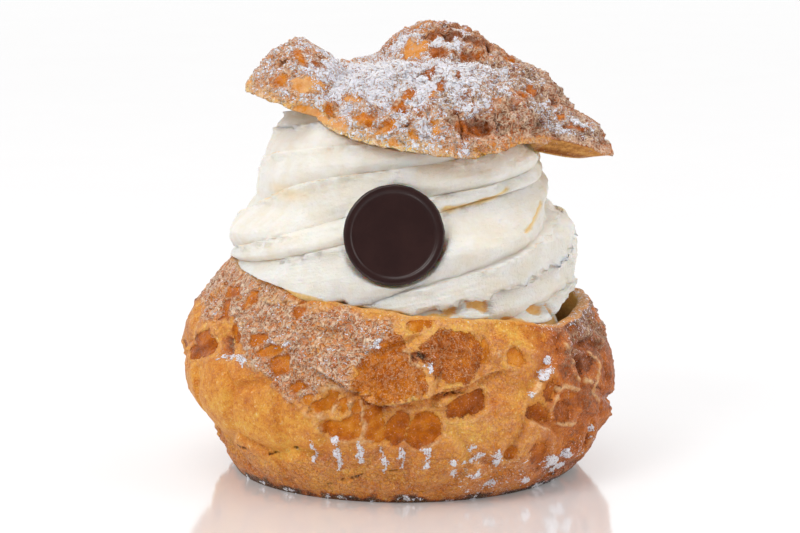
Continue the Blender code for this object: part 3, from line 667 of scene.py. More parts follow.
def lid_direction(bearing, angle):
    """Unit directions from the lid's heart, at an angle from straight up."""
    return at(bearing, np.sin(angle), np.cos(angle))


def lid_edge_angle(bearing, depth, rise):
    """The angle from straight up at which a skin at a depth is a rise above the torn edge, by halving."""
    low = np.zeros_like(bearing)
    high = np.full_like(bearing, math.radians(100))
    for _ in range(30):
        middle = (low + high) / 2
        direction = lid_direction(bearing, middle)
        above = above_lid_edge(LID_HEART + direction * (lid_reach(direction) - depth)[..., None]) > rise
        low = np.where(above, middle, low)
        high = np.where(above, high, middle)
    return low


def lid_relief(points):
    """Wrinkles and hollows that the lid's solid has."""
    relief = LID_RELIEF * lumps(points, LID_GRAIN_SIZE)
    relief += LID_WRINKLE * (0.5 - 2.4 * np.abs(lumps(points / LID_WRINKLE_SIZE, 1.0)))
    for place, width, depth in LID_HOLLOWS.values():
        relief -= depth * blob(points, place, width)
    return relief


def under_lid(points):
    """Points that would be in the lid drawn in towards its heart, to just below its inner face."""
    out = points - LID_HEART
    distance = np.maximum(np.linalg.norm(out, axis=-1), 1e-6)
    limit = lid_reach(out / distance[..., None]) - LID_WALL - LID_GAP
    share = np.minimum(1, limit / distance)
    covered = ease((above_lid_edge(points) + 0.0010) / 0.0010)
    return LID_HEART + out * (1 + (share - 1) * covered)[..., None]


def swirl_turn(height):
    """How far the nozzle's lobes have turned round the cream at a height."""
    return 2 * math.pi * np.maximum(height - SWIRL_START, 0) / sum(LOBE_HEIGHTS)


def lobe_at(share):
    """The number of the lobe at a share of the turn, and the share of its rise from its lip to the next."""
    tops = np.cumsum(LOBE_HEIGHTS)
    height = np.mod(share, 1) * tops[-1]
    number = np.minimum(np.searchsorted(tops, height, side="right"), len(tops) - 1)
    rise = 1 - (tops[number] - height) / np.array(LOBE_HEIGHTS)[number]
    return number, np.clip(rise, 0, 1)


def lobe_relief(number, bearing):
    """How far a lobe's crest stands out, which changes as the lobe goes round."""
    places = at(bearing, 1.3, 5.0 * number)
    calm = 1 - CALM * near(bearing, CALM_BEARING, CALM_WIDTH) * (number >= CALM_LOBE)
    return np.array(LOBE_RELIEF)[number] * (1 + 0.45 * lumps(places, 1.0)) * calm


def lip_share(number, bearing):
    """How far a lobe already stands out at its lip, as a share of its crest."""
    hanging = near(bearing, HANGING_BEARING, HANGING_WIDTH) * (number == HANGING_LOBE)
    share = np.array(LIP_SHARES)[number]
    return share + (HANGING_SHARE - share) * hanging


def lobe_profile(number, rise, bearing):
    """How far a lobe stands out at a share of its rise: a lip, a rounded crest and a slope to the next."""
    lip = lip_share(number, bearing)
    hanging = near(bearing, HANGING_BEARING, HANGING_WIDTH)
    brow = BROW_SHARE * (1 - hanging) * (number == HANGING_LOBE - 1)
    crest = np.array(CREST_SHARES)[number]
    below = lip + (1 - lip) * np.sin(math.pi / 2 * np.clip(rise / crest, 0, 1))
    above = 1 - (1 - brow) * np.clip((rise - crest) / (1 - crest), 0, 1) ** 1.6
    return lobe_relief(number, bearing) * np.where(rise < crest, below, above) - LOBE_SUNK


def lobe_tilt(height):
    """How much higher the lobes are on the right than at the front, at a height."""
    waist = WAIST_TILT * ease((height - 0.045) / 0.012)
    shoulder = (TOP_TILT - WAIST_TILT) * ease((height - 0.058) / 0.015)
    return waist + shoulder - TOP_TILT * ease((height - 0.074) / 0.012)


def coil_radius(bearing, height):
    """The cream's radius without its lobes: a wide coil with a narrower one on it."""
    coil = ease((height - COIL_STEP[0]) / (COIL_STEP[1] - COIL_STEP[0]))
    return around(bearing, LOWER_COIL) * (1 - coil) + around(bearing, UPPER_COIL) * coil


def cream_radius(bearing, height, share):
    """The cream's radius: it fills the shell, and above the rim it is a lobed column in two coils."""
    rim = rim_height(bearing)
    number, rise = lobe_at(share)
    shoulder = around(bearing, CREAM_SHOULDER)
    dome = np.clip((height - shoulder) / (CREAM_TOP - shoulder), 0, 1)
    radius = coil_radius(bearing, height) * np.sqrt(np.maximum(1 - dome**1.7, 0.0004))
    ridged = ease((height - rim + 0.004) / 0.005) * (1 - dome)
    swirl = radius + lobe_profile(number, rise, bearing) * ridged
    pocket = near(bearing, POCKET_BEARING, POCKET_WIDTH)
    inside = cavity_radius(bearing, height) - CAVITY_GAP
    inside = inside - POCKET_DEPTH * pocket * ease((height - POCKET_FLOOR) / 0.005)

    # Above the rim it may stand further out with height: at the pocket less, and only from higher up
    apart = ease(2 * pocket)
    slope, start = 5 - 3.4 * apart, (0.4 + 1.2 * apart) * MM
    return np.minimum(swirl, inside + slope * np.maximum(height - rim - start, 0))


# Meshes

def add_object(name, data):
    """A new object in the scene."""
    made = bpy.data.objects.new(name, data)
    bpy.context.scene.collection.objects.link(made)
    return made


def add_mesh(name, points, faces):
    """A new mesh in the scene."""
    data = bpy.data.meshes.new(name)
    data.from_pydata(points.tolist(), [], faces)
    return add_object(name, data)


def closed_skin(name, first_pole, rings, last_pole, fields):
    """A closed skin from a pole over rings of points to another pole, with values at its points."""
    rows, columns = rings.shape[:2]
    points = np.concatenate([[first_pole], rings.reshape(-1, 3), [last_pole]])
    here = 1 + np.arange(rows * columns).reshape(rows, columns)
    beside = np.roll(here, -1, axis=1)
    quads = np.stack([here[:-1], beside[:-1], beside[1:], here[1:]], -1).reshape(-1, 4)
    first = np.stack([np.zeros(columns, int), beside[0], here[0]], -1)
    last = np.stack([np.full(columns, len(points) - 1), here[-1], beside[-1]], -1)
    sides = points[quads]
    turned = np.cross(sides[:, 1], sides[:, 2]) + np.cross(sides[:, 2], sides[:, 3])
    faces = quads.tolist() + first.tolist() + last.tolist()
    if (sides[:, 0] * turned).sum() < 0:
        faces = [face[::-1] for face in faces]
    made = add_mesh(name, points, faces)
    made.data.shade_smooth()
    for field, values in fields.items():
        values = np.broadcast_to(values, (rows, columns))
        spread = np.concatenate([[values[0].mean()], values.ravel(), [values[-1].mean()]])
        layer = made.data.attributes.new(field, "FLOAT", "POINT")
        layer.data.foreach_set("value", spread.astype(np.float32))
    return made


def spot(points, place, half_width, half_height, turn=0.0):
    """1 at a place, 0 on the oval outline round it and less outside. Half sizes in mm, turn in degrees."""
    anchor, across, up = place
    offset = (points - anchor) / MM
    along, rise = offset @ across, offset @ up
    c, s = math.cos(math.radians(turn)), math.sin(math.radians(turn))
    u = np.abs(along * c + rise * s) / half_width
    v = np.abs(rise * c - along * s) / half_height
    w = np.abs(offset @ np.cross(across, up)) / (half_width + half_height)
    return 1 - (u**2.5 + v**2.5 + w**2.5) ** 0.4


def patch(inside, soft=0.3):
    """A soft-edged mask from how far inside an outline points are."""
    return ease(inside / soft + 0.5)


def inside_outline(x, y, corners):
    """How many mm inside an outline points on a plane are, and less than 0 outside it."""
    least = np.full(x.shape, FAR)
    odd = np.zeros(x.shape, bool)
    for (x0, y0), (x1, y1) in zip(corners, corners[1:] + corners[:1]):
        run_x, run_y = x1 - x0, y1 - y0
        share = np.clip(((x - x0) * run_x + (y - y0) * run_y) / (run_x**2 + run_y**2), 0, 1)
        least = np.minimum(least, np.hypot(x - x0 - share * run_x, y - y0 - share * run_y))
        if run_y:
            odd ^= ((y0 > y) != (y1 > y)) & (x < x0 + run_x * (y - y0) / run_y)
    return np.where(odd, least, -least)


def in_outlines(places, table, flat, wave=0.0):
    """For places and a table of outlines: mm inside the nearest one, less where two meet, and its value."""
    x, y = flat(*places)
    first = np.full(x.shape, -FAR)
    second = first.copy()
    value = np.zeros_like(first)
    for last, outline in table:
        corners = [flat(*corner) for corner in outline]
        middle_x, middle_y = np.mean(corners, axis=0)
        reach = np.abs(np.array(corners) - (middle_x, middle_y)).max() + 5
        turn = SHELL_DEGREE * 360 if flat is shell_plane else 1e6
        beside = (x - middle_x + turn / 2) % turn - turn / 2
        here = (np.abs(beside) < reach) & (np.abs(y - middle_y) < reach)
        corners = [(a - middle_x, b) for a, b in corners]
        inside = np.full(x.shape, -FAR)
        inside[here] = inside_outline(beside[here], y[here], corners)
        inside += wave
        nearer = inside > first
        second = np.where(nearer, first, np.maximum(second, inside))
        first = np.where(nearer, inside, first)
        value = np.where(nearer, last, value)
    return np.minimum(first, 0.8 * (first - second) - 0.2), value


def shell_plane(bearing, height):
    """Bearings in degrees and heights in mm on the shell as mm on a plane."""
    return bearing * SHELL_DEGREE, height


def lid_plane(bearing, angle):
    """Bearings and angles in degrees on the lid as mm on a plane."""
    turn = np.radians(bearing)
    return angle * np.sin(turn) * LID_DEGREE, -angle * np.cos(turn) * LID_DEGREE


def nearest_line(points, lines, placed):
    """Distance in mm from points to the nearest of several lines through places."""
    least = np.full(points.shape[:-1], FAR)
    for line in lines:
        least = np.minimum(least, distance_to(points, [placed(*place)[0] for place in line]))
    return least


def distance_to(points, line):
    """Distance in mm from points to a line through places."""
    least = np.full(points.shape[:-1], FAR)
    for start, end in zip(line, line[1:]):
        run = end - start
        share = np.clip((points - start) @ run / (run @ run), 0, 1)
        gap = np.linalg.norm(points - start - share[..., None] * run, axis=-1) / MM
        least = np.minimum(least, gap)
    return least


def shell_place(bearing, height):
    """A place on the shell from degrees and mm: the point, the way across and the way up."""
    b = math.radians(bearing)
    point = at(np.array(b), wall_radius(np.array(b), np.array(height * MM)), height * MM)
    return point, np.array((math.cos(b), math.sin(b), 0)), UP


def lid_place(bearing, angle):
    """A place on the lid from degrees at its heart: the point, the way across and the way up the skin."""
    b, a = math.radians(bearing), math.radians(angle)
    out = lid_direction(np.array(b), np.array(a))
    across = np.array((math.cos(b), math.sin(b), 0))
    point = LID_HEART + out * lid_reach(out)
    return point, across, -lid_direction(np.array(b), np.array(a + math.pi / 2))


# The shell

def more_panels():
    """The front's panels, and more like them round the sides and the back."""
    table = list(PANELS)
    for _ in range(BACK_PANELS):
        bearing, level = rng.uniform(88, 278), rng.uniform(9, 40)
        width, height = rng.uniform(1.3, 4.6) * np.array((1, rng.uniform(0.5, 0.9)))
        outline = []
        for turn in np.linspace(0, 2 * math.pi, 8)[:-1]:
            reach = rng.uniform(0.7, 1.2)
            outline.append((bearing + reach * width * math.cos(turn) / SHELL_DEGREE,
                            level + reach * height * math.sin(turn)))
        table.append((rng.uniform(0.60, 0.75), tuple(outline)))
    return table


def shell_zone(c, outline, soft):
    """1 well inside an outline on the shell, 0 well outside."""
    inside = in_outlines(c.places, ((1, outline),), shell_plane, 1.2 * c.coarse + 0.8 * c.fine)[0]
    return patch(inside, soft)


def shell_tones(c):
    """The upper left is dusted and wrinkled, the bulge beneath it smooth, and the rest between the two."""
    z, degrees, broad, coarse, fine = c.z, c.degrees, c.broad, c.coarse, c.fine
    c.right_top = ease((z - 27) / 5) * between(degrees, 48, 12, 150, 30)
    c.behind = ease((np.abs(degrees) - 80) / 15)
    c.upper = 0.7 * c.behind * ease((z - 26) / 6) * ease(0.5 + broad)
    c.upper = np.maximum(shell_zone(c, FROSTED, 2.0), c.upper)
    bulges = [patch(spot(c.points, shell_place(*place), *size) + c.wave, 0.5) for place, size in BULGES]
    c.bulge = np.maximum(*bulges)
    c.bake = 0.44 + 0.08 * broad + 0.08 * coarse + 0.05 * fine + 0.03 * c.wrinkles
    c.bake += 0.14 * c.upper - 0.05 * c.bulge + 0.15 * c.right_top
    c.bake += 0.20 * between(degrees, 30, 20, 150, 40)
    c.bake += 0.07 * ease((degrees - 42) / 8) * between(z, 17, 5, 33, 5)
    c.bake -= 0.05 * near_degrees(c.bearing, -32, 22) * ease((17 - z) / 4)
    c.bake -= 0.07 * near_degrees(c.bearing, 2, 22) * ease((z - 37) / 3)
    c.bloom = 0.30 + 0.50 * c.upper - 0.25 * c.bulge + 0.20 * coarse + 0.10 * c.right_top
    c.relief = (0.26 * fine + 0.26 * c.wrinkles * (0.4 + c.upper + c.right_top)) * (1 - 0.85 * c.bulge)
    c.relief += 0.22 * coarse * (1 - 0.6 * c.bulge)


def shell_cells(c):
    """Cells of skin, mostly behind: some brown and smooth, with raised, tan seams between them."""
    cell, number = cells(c.warped, 6.2 * MM)
    within = ease(cell / 0.22)
    skinned = (1 - c.bulge) * (1 - 0.6 * c.upper) * ease(c.z / 7) * (0.12 + 0.75 * c.behind)
    brown = within * ease((number - 0.45) / 0.1) * skinned
    c.bake += 0.14 * brown - 0.07 * (1 - within) * skinned
    c.bloom += 0.40 * (1 - within) * skinned - 0.2 * brown
    c.relief += (0.28 * (1 - within) - 0.12 * brown) * skinned


def shell_panels(c):
    """Panels of bare skin, raised plates, pale rims round both, and seams that stand out."""
    coarse, fine = c.coarse, c.fine
    panel, skin = in_outlines(c.places, more_panels(), shell_plane, 0.45 + 0.35 * fine)
    plate, plate_skin = in_outlines(c.places, PLATES, shell_plane, 0.3 + 0.5 * fine)
    c.in_panel, c.on_plate = patch(panel, 0.8), patch(plate, 0.8)
    c.skin = np.where(plate > panel, plate_skin + 0.03, skin) + 0.07 * coarse + 0.05 * fine
    c.ragged_right = between(c.degrees, 30, 8, 85, 8)
    c.panel = np.maximum(panel, plate) * (1 - 0.62 * c.ragged_right) - 0.25 * c.ragged_right
    rimmed = bell(c.panel + 0.75, 0.55) * (0.7 + 0.6 * fine)
    c.bake -= 0.09 * rimmed
    c.bloom += 0.25 * rimmed
    c.relief += 0.30 * rimmed - 0.45 * c.in_panel + 0.45 * c.on_plate * (0.7 + 0.6 * fine)
    c.seam = nearest_line(c.points + 0.5 * MM * fine[..., None], SEAMS, shell_place) + 0.2 * coarse
    c.relief += 0.40 * ease(1.5 - c.seam / 0.8) * (0.7 + 0.8 * fine)


def shell_ledge(c):
    """The raised plates end below in a torn, pale edge, with painted shadow in the gap under it."""
    line = np.interp(c.degrees, LEDGE_BEARINGS, np.array(LEDGE_HEIGHTS) / MM)
    over = c.z - line + 1.1 * c.coarse + 0.5 * c.fine
    along = near_degrees(c.bearing, 3, 27) ** 0.5
    lip = np.where(over > 0, np.exp(-over / 1.3), 0) * along
    gap = np.where(over > 0, 0, np.exp(over / 0.9)) * along
    c.relief += 0.25 * lip * (0.8 + c.fine) - 0.45 * gap
    # Painted shadow: the gap under the edge is darker
    c.bake += 0.24 * gap * ease(0.7 + c.fine) - 0.13 * lip
    c.skin += 0.14 * gap - 0.16 * lip
    c.bloom += 0.4 * lip


def shell_cracks(c):
    """Dark cracks, and hollows beside the plates darkened with painted shade."""
    c.crack = nearest_line(c.warped, CRACKS, shell_place) + 0.35 * np.abs(c.fine)
    c.relief -= 0.5 * bell(c.crack, 0.45)
    for place, size, waves, soft, depth, darker in SHELL_PITS:
        pit = patch(spot(c.points, shell_place(*place), *size) + waves * c.wave, soft)
        c.relief -= depth * pit
        # Painted shade darkens the slot and the pit
        c.bake += darker * pit
        c.skin += 0.30 * pit


def shell_sugar(c):
    """Sugar in marks, and thinly on the upper crust, low at the right, along the foot and on the rim."""
    z, degrees, coarse, fine = c.z, c.degrees, c.coarse, c.fine
    marks = [(1, outline) for outline in SUGAR_MARKS]
    mark = in_outlines(c.places, marks, shell_plane, 0.7 * fine + 0.3 * coarse - 0.10)[0]
    marked = 0.92 * ease(mark / 0.8 + 0.6)
    c.relief += 0.25 * marked
    dusted = 0.16 * c.upper * (1 - c.on_plate) + 0.16 * c.right_top
    dusted += 0.16 * between(degrees, 10, 10, 75, 10) * ease((14 - z) / 6)
    dusted = dusted * ease(0.6 + coarse + 0.8 * c.wrinkles) * (1 - 0.7 * c.in_panel)
    at_foot = 0.8 * ease((1.7 - z) / 0.8) * ease((coarse + 0.6 * fine - 0.30) / 0.3)
    at_rim = ease((z - c.rim / MM + 0.9) / 0.5) * (0.22 * between(degrees, 40, 12, 110, 10) + 0.06)
    c.sugar = np.maximum(np.maximum(marked, dusted), np.maximum(at_foot, at_rim))


def shell_foot(c):
    """The foot is burnt, the relief fades towards it and the rim, and panels and plates are less crazed."""
    foot = ease((2.0 + 1.3 * c.coarse + 0.8 * c.fine - c.z) / 1.4)
    burnt = 0.06 * ease((10 - c.z) / 8) + 0.44 * foot
    c.bake += burnt
    c.skin += burnt
    c.bloom *= 1 - 0.7 * foot
    c.relief *= ease(c.z / 2.5) * (0.4 + 0.6 * ease((c.rim - c.height) / 0.002))
    c.craze = 0.30 - 0.12 * c.ragged_right + 0.70 * c.upper + 0.40 * c.right_top - 0.15 * c.bulge
    c.craze += 0.20 * ease((14 - c.z) / 3) * (1 - c.bulge)
    c.craze = c.craze * (1 - c.in_panel) + 0.05 * c.in_panel
    c.craze = c.craze * (1 - c.on_plate) + 0.42 * c.on_plate


def crust_values(c):
    """The values that the crust's material reads, from those built up in c."""
    return {"bake": c.bake, "skin": c.skin, "panel": np.clip(c.panel, -PANEL_REACH, PANEL_REACH),
            "bloom": np.clip(c.bloom, 0, 1), "craze": np.clip(c.craze, 0, 1), "crack": c.crack,
            "seam": c.seam, "sugar": np.clip(c.sugar, 0, 1), "crumb": np.zeros_like(c.bake)}


def crust_points(points, sizes, warp, fine_share):
    """Points on a crust with its lumps at three sizes, to build relief in mm and material values up on."""
    c = SimpleNamespace(points=points)
    by_size = [lumps(points, size * MM, octaves) for size, octaves in zip(sizes, (2, 2, 3))]
    c.broad, c.coarse, c.fine = by_size
    c.wave = 0.30 * c.coarse + fine_share * c.fine
    c.warped = points + warp * MM * c.coarse[..., None]
    return c


def base_fields(points, bearing, height, rim):
    """Relief in mm and material values for points on the shell's outside."""
    c = crust_points(points, (11, 4.5, 1.7), 0.9, 0.16)
    c.bearing, c.height, c.rim, c.z, c.degrees = bearing, height, rim, height / MM, in_degrees(bearing)
    c.wrinkles = ridges(c.warped * np.array((1, 1, 1.6)), 3.4 * MM, 3)
    c.places = (c.degrees + 0.5 * c.fine + 0.4 * c.coarse, c.z + 0.4 * c.fine - 0.3 * c.coarse)
    shell_tones(c)
    shell_cells(c)
    yellow, dull = shell_zone(c, YELLOW, 3.0), shell_zone(c, DULL, 3.0)
    c.bake -= 0.13 * yellow + 0.10 * dull
    c.bloom -= 0.7 * yellow + 0.20 * between(c.degrees, 35, 15, 90, 10) * (1 - c.right_top)
    for add_to in (shell_panels, shell_ledge, shell_cracks, shell_sugar, shell_foot):
        add_to(c)
    return c.relief * MM, crust_values(c)


def filled_rows(values, rows, columns, **own):
    """Rows of material values that are the same all over, apart from their own ones."""
    return {name: np.broadcast_to(own.get(name, value), (rows, columns)) for name, value in values.items()}


def joined(*parts):
    """The material values of rings of points one after another."""
    return {name: np.concatenate([part[name] for part in parts]) for name in parts[0]}


def shell_inside(bearing):
    """Rings from the rim down the shell's inside to its floor."""
    rim = rim_height(bearing)
    shares = [(row / INSIDE_ROWS) ** 1.3 for row in range(1, INSIDE_ROWS + 1)]
    levels = [rim - (rim - FLOOR - BOWL_CORNER) * share for share in shares]
    levels += [FLOOR + BOWL_CORNER * (1 - math.sin(math.radians(turn))) for turn in (22, 45, 67, 90)]
    return [at(bearing, cavity_radius(bearing, level), level) for level in levels]


def make_base():
    """The shell's crust, from under its foot over its rim and down to the floor inside."""
    bearing = around_circle(BASE_COLUMNS)
    rim = rim_height(bearing) + 0.35 * MM * lumps(at(bearing, 0.040, 0.0), 3.5 * MM, 3)
    height = np.linspace(0, 1, BASE_ROWS + 1)[:, None] * rim
    bearings = np.broadcast_to(bearing, height.shape)
    radius = crusted_radius(bearings, np.minimum(height, rim_height(bearings)))
    relief, fields = base_fields(at(bearings, radius, height), bearings, height, rim)
    outside = at(bearings, radius + relief, height)
    under = np.linspace(0, 0.98, UNDER_ROWS + 1)[1:, None, None] * outside[0] * np.array((1, 1, 0))

    # Over the rim and down the inside, which is crumb
    inner_edge = cavity_radius(bearing, rim_height(bearing))
    middle = (radius[-1] + relief[-1] + inner_edge) / 2
    half = (radius[-1] + relief[-1] - inner_edge) / 2
    turns = np.radians((25, 55, 90, 125, 155))
    crown = [at(bearing, middle + half * math.cos(t), rim + RIM_CROWN * math.sin(t)) for t in turns]
    wall = [at(bearing, inner_edge, rim)] + shell_inside(bearing)
    last = {name: values[-1] for name, values in fields.items()}
    on_crown = {name: last[name] for name in ("sugar", "bloom", "craze")}
    on_crown["bake"] = np.minimum(last["bake"], 0.46) - 0.04
    on_crown["crumb"] = np.linspace(0.0, 0.8, len(crown))[:, None]
    values = joined(filled_rows(UNDER_VALUES, len(under), BASE_COLUMNS), fields,
                    filled_rows(CRUMB_VALUES, len(crown), BASE_COLUMNS, **on_crown),
                    filled_rows(CRUMB_VALUES, len(wall), BASE_COLUMNS))
    rings = np.concatenate([under, outside, crown, wall])
    return closed_skin("base_crust", (0, 0, 0), rings, (0, 0, FLOOR), values)


# The lid

def lid_tones(c, up_ness):
    """Wrinkled skin with cells, browner to the right, and sugar where it faces up."""
    x, y, z = np.moveaxis(c.points / MM, -1, 0)
    wrinkles = ridges(c.warped * np.array((1, 1, 1.7)), 3.8 * MM, 3)
    small_wrinkles = ridges(c.warped, 1.8 * MM, 2)
    c.cell, c.number = cells(c.warped, 4.6 * MM)
    inside = ease(c.cell / 0.3)
    c.relief = 0.50 * (wrinkles - 0.45) + 0.22 * (small_wrinkles - 0.45) + 0.24 * c.fine
    c.relief += 0.35 * (inside - 0.9) * (c.number > 0.4) - 0.45
    c.bake = 0.54 + 0.09 * c.broad + 0.10 * c.coarse + 0.05 * c.fine - 0.05 * wrinkles
    c.bake += 0.08 * ease((c.number - 0.5) / 0.1) * inside
    c.bake += 0.12 * ease((x - 4) / 10) + 0.10 * ease((x - 24) / 6)
    left_hump = ease((-17 - x) / 5)
    low_left = ease((88 - z) / 4) * ease((12 - x) / 6) * (1 - left_hump)
    # Painted shade on the lid's front right, which also has less sugar
    shaded = blob(c.points, LID_SHADE, LID_SHADE_WIDTH)
    c.bake += 0.16 * shaded - 0.08 * low_left
    c.sugar = 0.15 + 0.26 * up_ness + 0.12 * c.coarse + 0.10 * c.broad + 0.12 * wrinkles
    rear = ease((y - 2) / 5) * ease((z - 94) / 3)
    c.sugar += 0.14 * small_wrinkles - 0.16 * rear - 0.28 * ease((x - 12) / 8)
    c.sugar += 0.12 * low_left - 0.10 * shaded - 0.10 * left_hump
    c.bloom = 0.90 - 0.50 * rear + 0.25 * c.coarse + 0.15 * wrinkles


def lid_patches(c):
    """Thicker sugar, and patches of bare, glossy skin."""
    for thicker, outline in THICK_SUGAR:
        depth = in_outlines(c.places, ((1, outline),), lid_plane, 0.8 * c.coarse + 0.8 * c.fine)[0]
        c.sugar += 0.84 * thicker * patch(depth, 2.0)
    c.panel, skin = in_outlines(c.places, BARE_PATCHES, lid_plane, 0.4 * c.coarse + 0.5 * c.fine)
    c.bare = patch(c.panel, 0.9)
    c.sugar -= c.bare * np.clip(0.25 + 1.8 * (skin - 0.42), 0.25, 0.85)
    c.skin = skin + 0.4 * np.clip(skin - 0.5, 0, 0.16) + 0.08 * c.coarse + 0.05 * c.fine
    c.relief *= 1 - 0.5 * c.bare
    c.relief -= 0.25 * c.bare


def lid_hollows(c):
    """Dents and creases are darkened with painted shade, and have less sugar in them."""
    dark = np.zeros_like(c.bake)
    for *place, half_width, half_height, turn, sunk in LID_DENTS:
        dent = patch(spot(c.points, lid_place(*place), half_width, half_height, turn) + 0.8 * c.wave, 1.0)
        c.relief -= sunk * dent
        dark = np.maximum(dark, dent * min(1, sunk / 2))
    # Painted shade in the dents
    c.bake += 0.16 * dark
    c.skin += 0.10 * dark
    c.sugar -= 0.5 * dark
    for sunk, line in LID_CREASES:
        gap = nearest_line(c.warped, (line,), lid_place) + 0.3 * c.fine
        c.relief -= sunk * bell(gap, 0.9)
        # Painted shade along the creases
        c.bake += 0.14 * bell(gap, 0.7)
        c.sugar -= 0.22 * bell(gap, 0.8)


def lid_edge(c):
    """A low band above the torn edge is paler and bumpy, with less sugar, and the skin is split there."""
    above = above_lid_edge(c.points) / MM
    band = ease((6.0 + 2.0 * c.coarse - above) / 5.0)
    rim = ease((1.5 - above) / 1.4)
    c.sugar -= 0.06 * band + 0.22 * rim
    c.bake -= 0.22 * band + 0.10 * rim
    c.skin -= 0.06 * band
    c.relief += 0.30 * c.fine * band
    split = nearest_line(c.warped, LID_CRACKS, lid_place) + 0.3 * np.abs(c.fine)
    c.relief -= 0.6 * bell(split, 0.6)
    c.sugar -= 0.4 * bell(split, 0.7)
    c.crack = np.where((c.number > 0.62) & (c.bare < 0.3), c.cell * 3.2, FAR) + 0.3
    c.crack = np.minimum(c.crack, split)


def lid_fields(points, up_ness, places):
    """Relief in mm and material values for points on the lid's outside."""
    c = crust_points(points, (9, 4.0, 1.3), 1.3, 0.20)
    c.places = places
    lid_tones(c, up_ness)
    lid_patches(c)
    lid_hollows(c)
    lid_edge(c)
    c.craze = 0.8 - 0.7 * c.bare
    c.seam = np.full_like(c.bake, FAR)
    c.sugar = np.minimum(c.sugar, 0.92)
    return c.relief * MM, crust_values(c)


def torn_face(outer, inner, tear):
    """Rings of porous crumb from the lid's outer edge to its inner one, bulging where it isn't torn up."""
    rings = []
    for step in range(1, TORN_ROWS + 1):
        t = step / (TORN_ROWS + 1)
        middle = outer * (1 - t) + inner * t
        pores = lumps(middle, 1.3 * MM, 3)[..., None] * 0.4 * MM
        outward = middle - LID_HEART
        outward /= np.linalg.norm(outward, axis=-1, keepdims=True)
        bulge = 0.9 * MM * math.sin(math.pi * t) * (1 - tear)[:, None]
        rings.append(middle + outward * (pores * math.sin(math.pi * t) + bulge))
    return rings


def make_lid():
    """The lid's crust, from its top down to the torn edge and back up along its inside."""
    bearing = around_circle(LID_COLUMNS)
    torn, half_width, rise = LID_TEAR
    tear = near_degrees(bearing, torn, half_width)
    ragged = 0.50 * MM * lumps(at(bearing, 0.035, 0.07), 2.4 * MM, 4)
    raised = 1.0 * MM * near_degrees(bearing, -64, 22)
    edge = lid_edge_angle(bearing, 0, rise * tear + raised + ragged)
    share = (np.arange(1, LID_ROWS + 1) / LID_ROWS)[:, None] ** 0.9
    bearings = np.broadcast_to(bearing, (LID_ROWS, LID_COLUMNS))
    direction = lid_direction(bearings, edge * share)
    smooth = LID_HEART + direction * lid_reach(direction)[..., None]
    relief, fields = lid_fields(smooth, direction[..., 2], (np.degrees(bearings), np.degrees(edge * share)))
    for place, height, width in LID_CRESTS:
        relief += height * MM * blob(smooth, np.array(place) * MM, width * MM)
    faded = 1 - 0.8 * ease((share - 0.93) / 0.07)
    outside = smooth + direction * ((lid_relief(smooth) + relief) * faded)[..., None]

    inner = lid_edge_angle(bearing, LID_WALL, 0)
    inside = []
    for row in range(LID_INSIDE_ROWS, 0, -1):
        down = lid_direction(bearing, inner * row / LID_INSIDE_ROWS)
        inside.append(LID_HEART + down * (lid_reach(down) - LID_WALL)[..., None])
    face = torn_face(outside[-1], inside[0], tear)
    inwards = np.linspace(0, 1, len(face))[:, None]
    layers = 0.46 + 0.26 * inwards + 0.08 * np.sin(9 * inwards)
    on_face = {"bake": layers * tear + 0.40 * (1 - tear), "crumb": inwards * (1 - tear) + tear}
    values = joined(fields, filled_rows(LID_CRUMB_VALUES, len(face), LID_COLUMNS, **on_face),
                    filled_rows(LID_CRUMB_VALUES, len(inside), LID_COLUMNS))
    rings = np.concatenate([outside, face, inside])
    floor = LID_HEART + UP * (lid_reach(UP) - LID_WALL)
    return closed_skin("lid_crust", outside[0].mean(0), rings, floor, values)


# The cream

def plain_coil(bearing, height):
    """Points on the cream's side without its lobes."""
    return at(bearing, coil_radius(bearing, height), height)


def cream_place(bearing, height):
    """A place on the cream without its lobes, from degrees and mm: the point, the way across and up."""
    b = math.radians(bearing)
    return plain_coil(np.array(b), height * MM), np.array((math.cos(b), math.sin(b), 0)), UP


def cream_columns():
    """The columns' shares of the swirl's turn, evenly spaced over each lobe."""
    shares = []
    for number, height in enumerate(LOBE_HEIGHTS):
        lip = sum(LOBE_HEIGHTS[:number])
        steps = np.linspace(0, height, round(height / CREAM_COLUMN), endpoint=False)
        shares += [(lip + step) / sum(LOBE_HEIGHTS) for step in steps]
    return np.array(shares)


def cream_rows():
    """The rows' heights: few inside the shell, and fine ones over the swirl and its cap."""
    inside = np.linspace(FLOOR + BOWL_CORNER, SWIRL_START, INSIDE_ROWS)
    swirl = np.arange(SWIRL_START + CREAM_ROW, CREAM_CAP, CREAM_ROW)
    cap = 1 - (1 - np.linspace(0, 1, CAP_ROWS, endpoint=False)) ** 2
    return np.concatenate([inside, swirl, CREAM_CAP + (CREAM_TOP - CREAM_CAP) * cap])[:, None]


def cream_bowl(shares):
    """Rings of cream along the shell's floor and round its corner."""
    bearing = -swirl_turn(FIRST_LIP) - 2 * math.pi * shares
    rings = []
    for turn in np.radians((90, 70, 50, 30, 15)):
        down, outward = math.sin(turn), math.cos(turn)
        height = FLOOR + BOWL_CORNER * (1 - down)
        radius = cavity_radius(bearing, height) - CAVITY_GAP * outward
        rings.append(at(bearing, radius, height + CAVITY_GAP * down))
    return rings


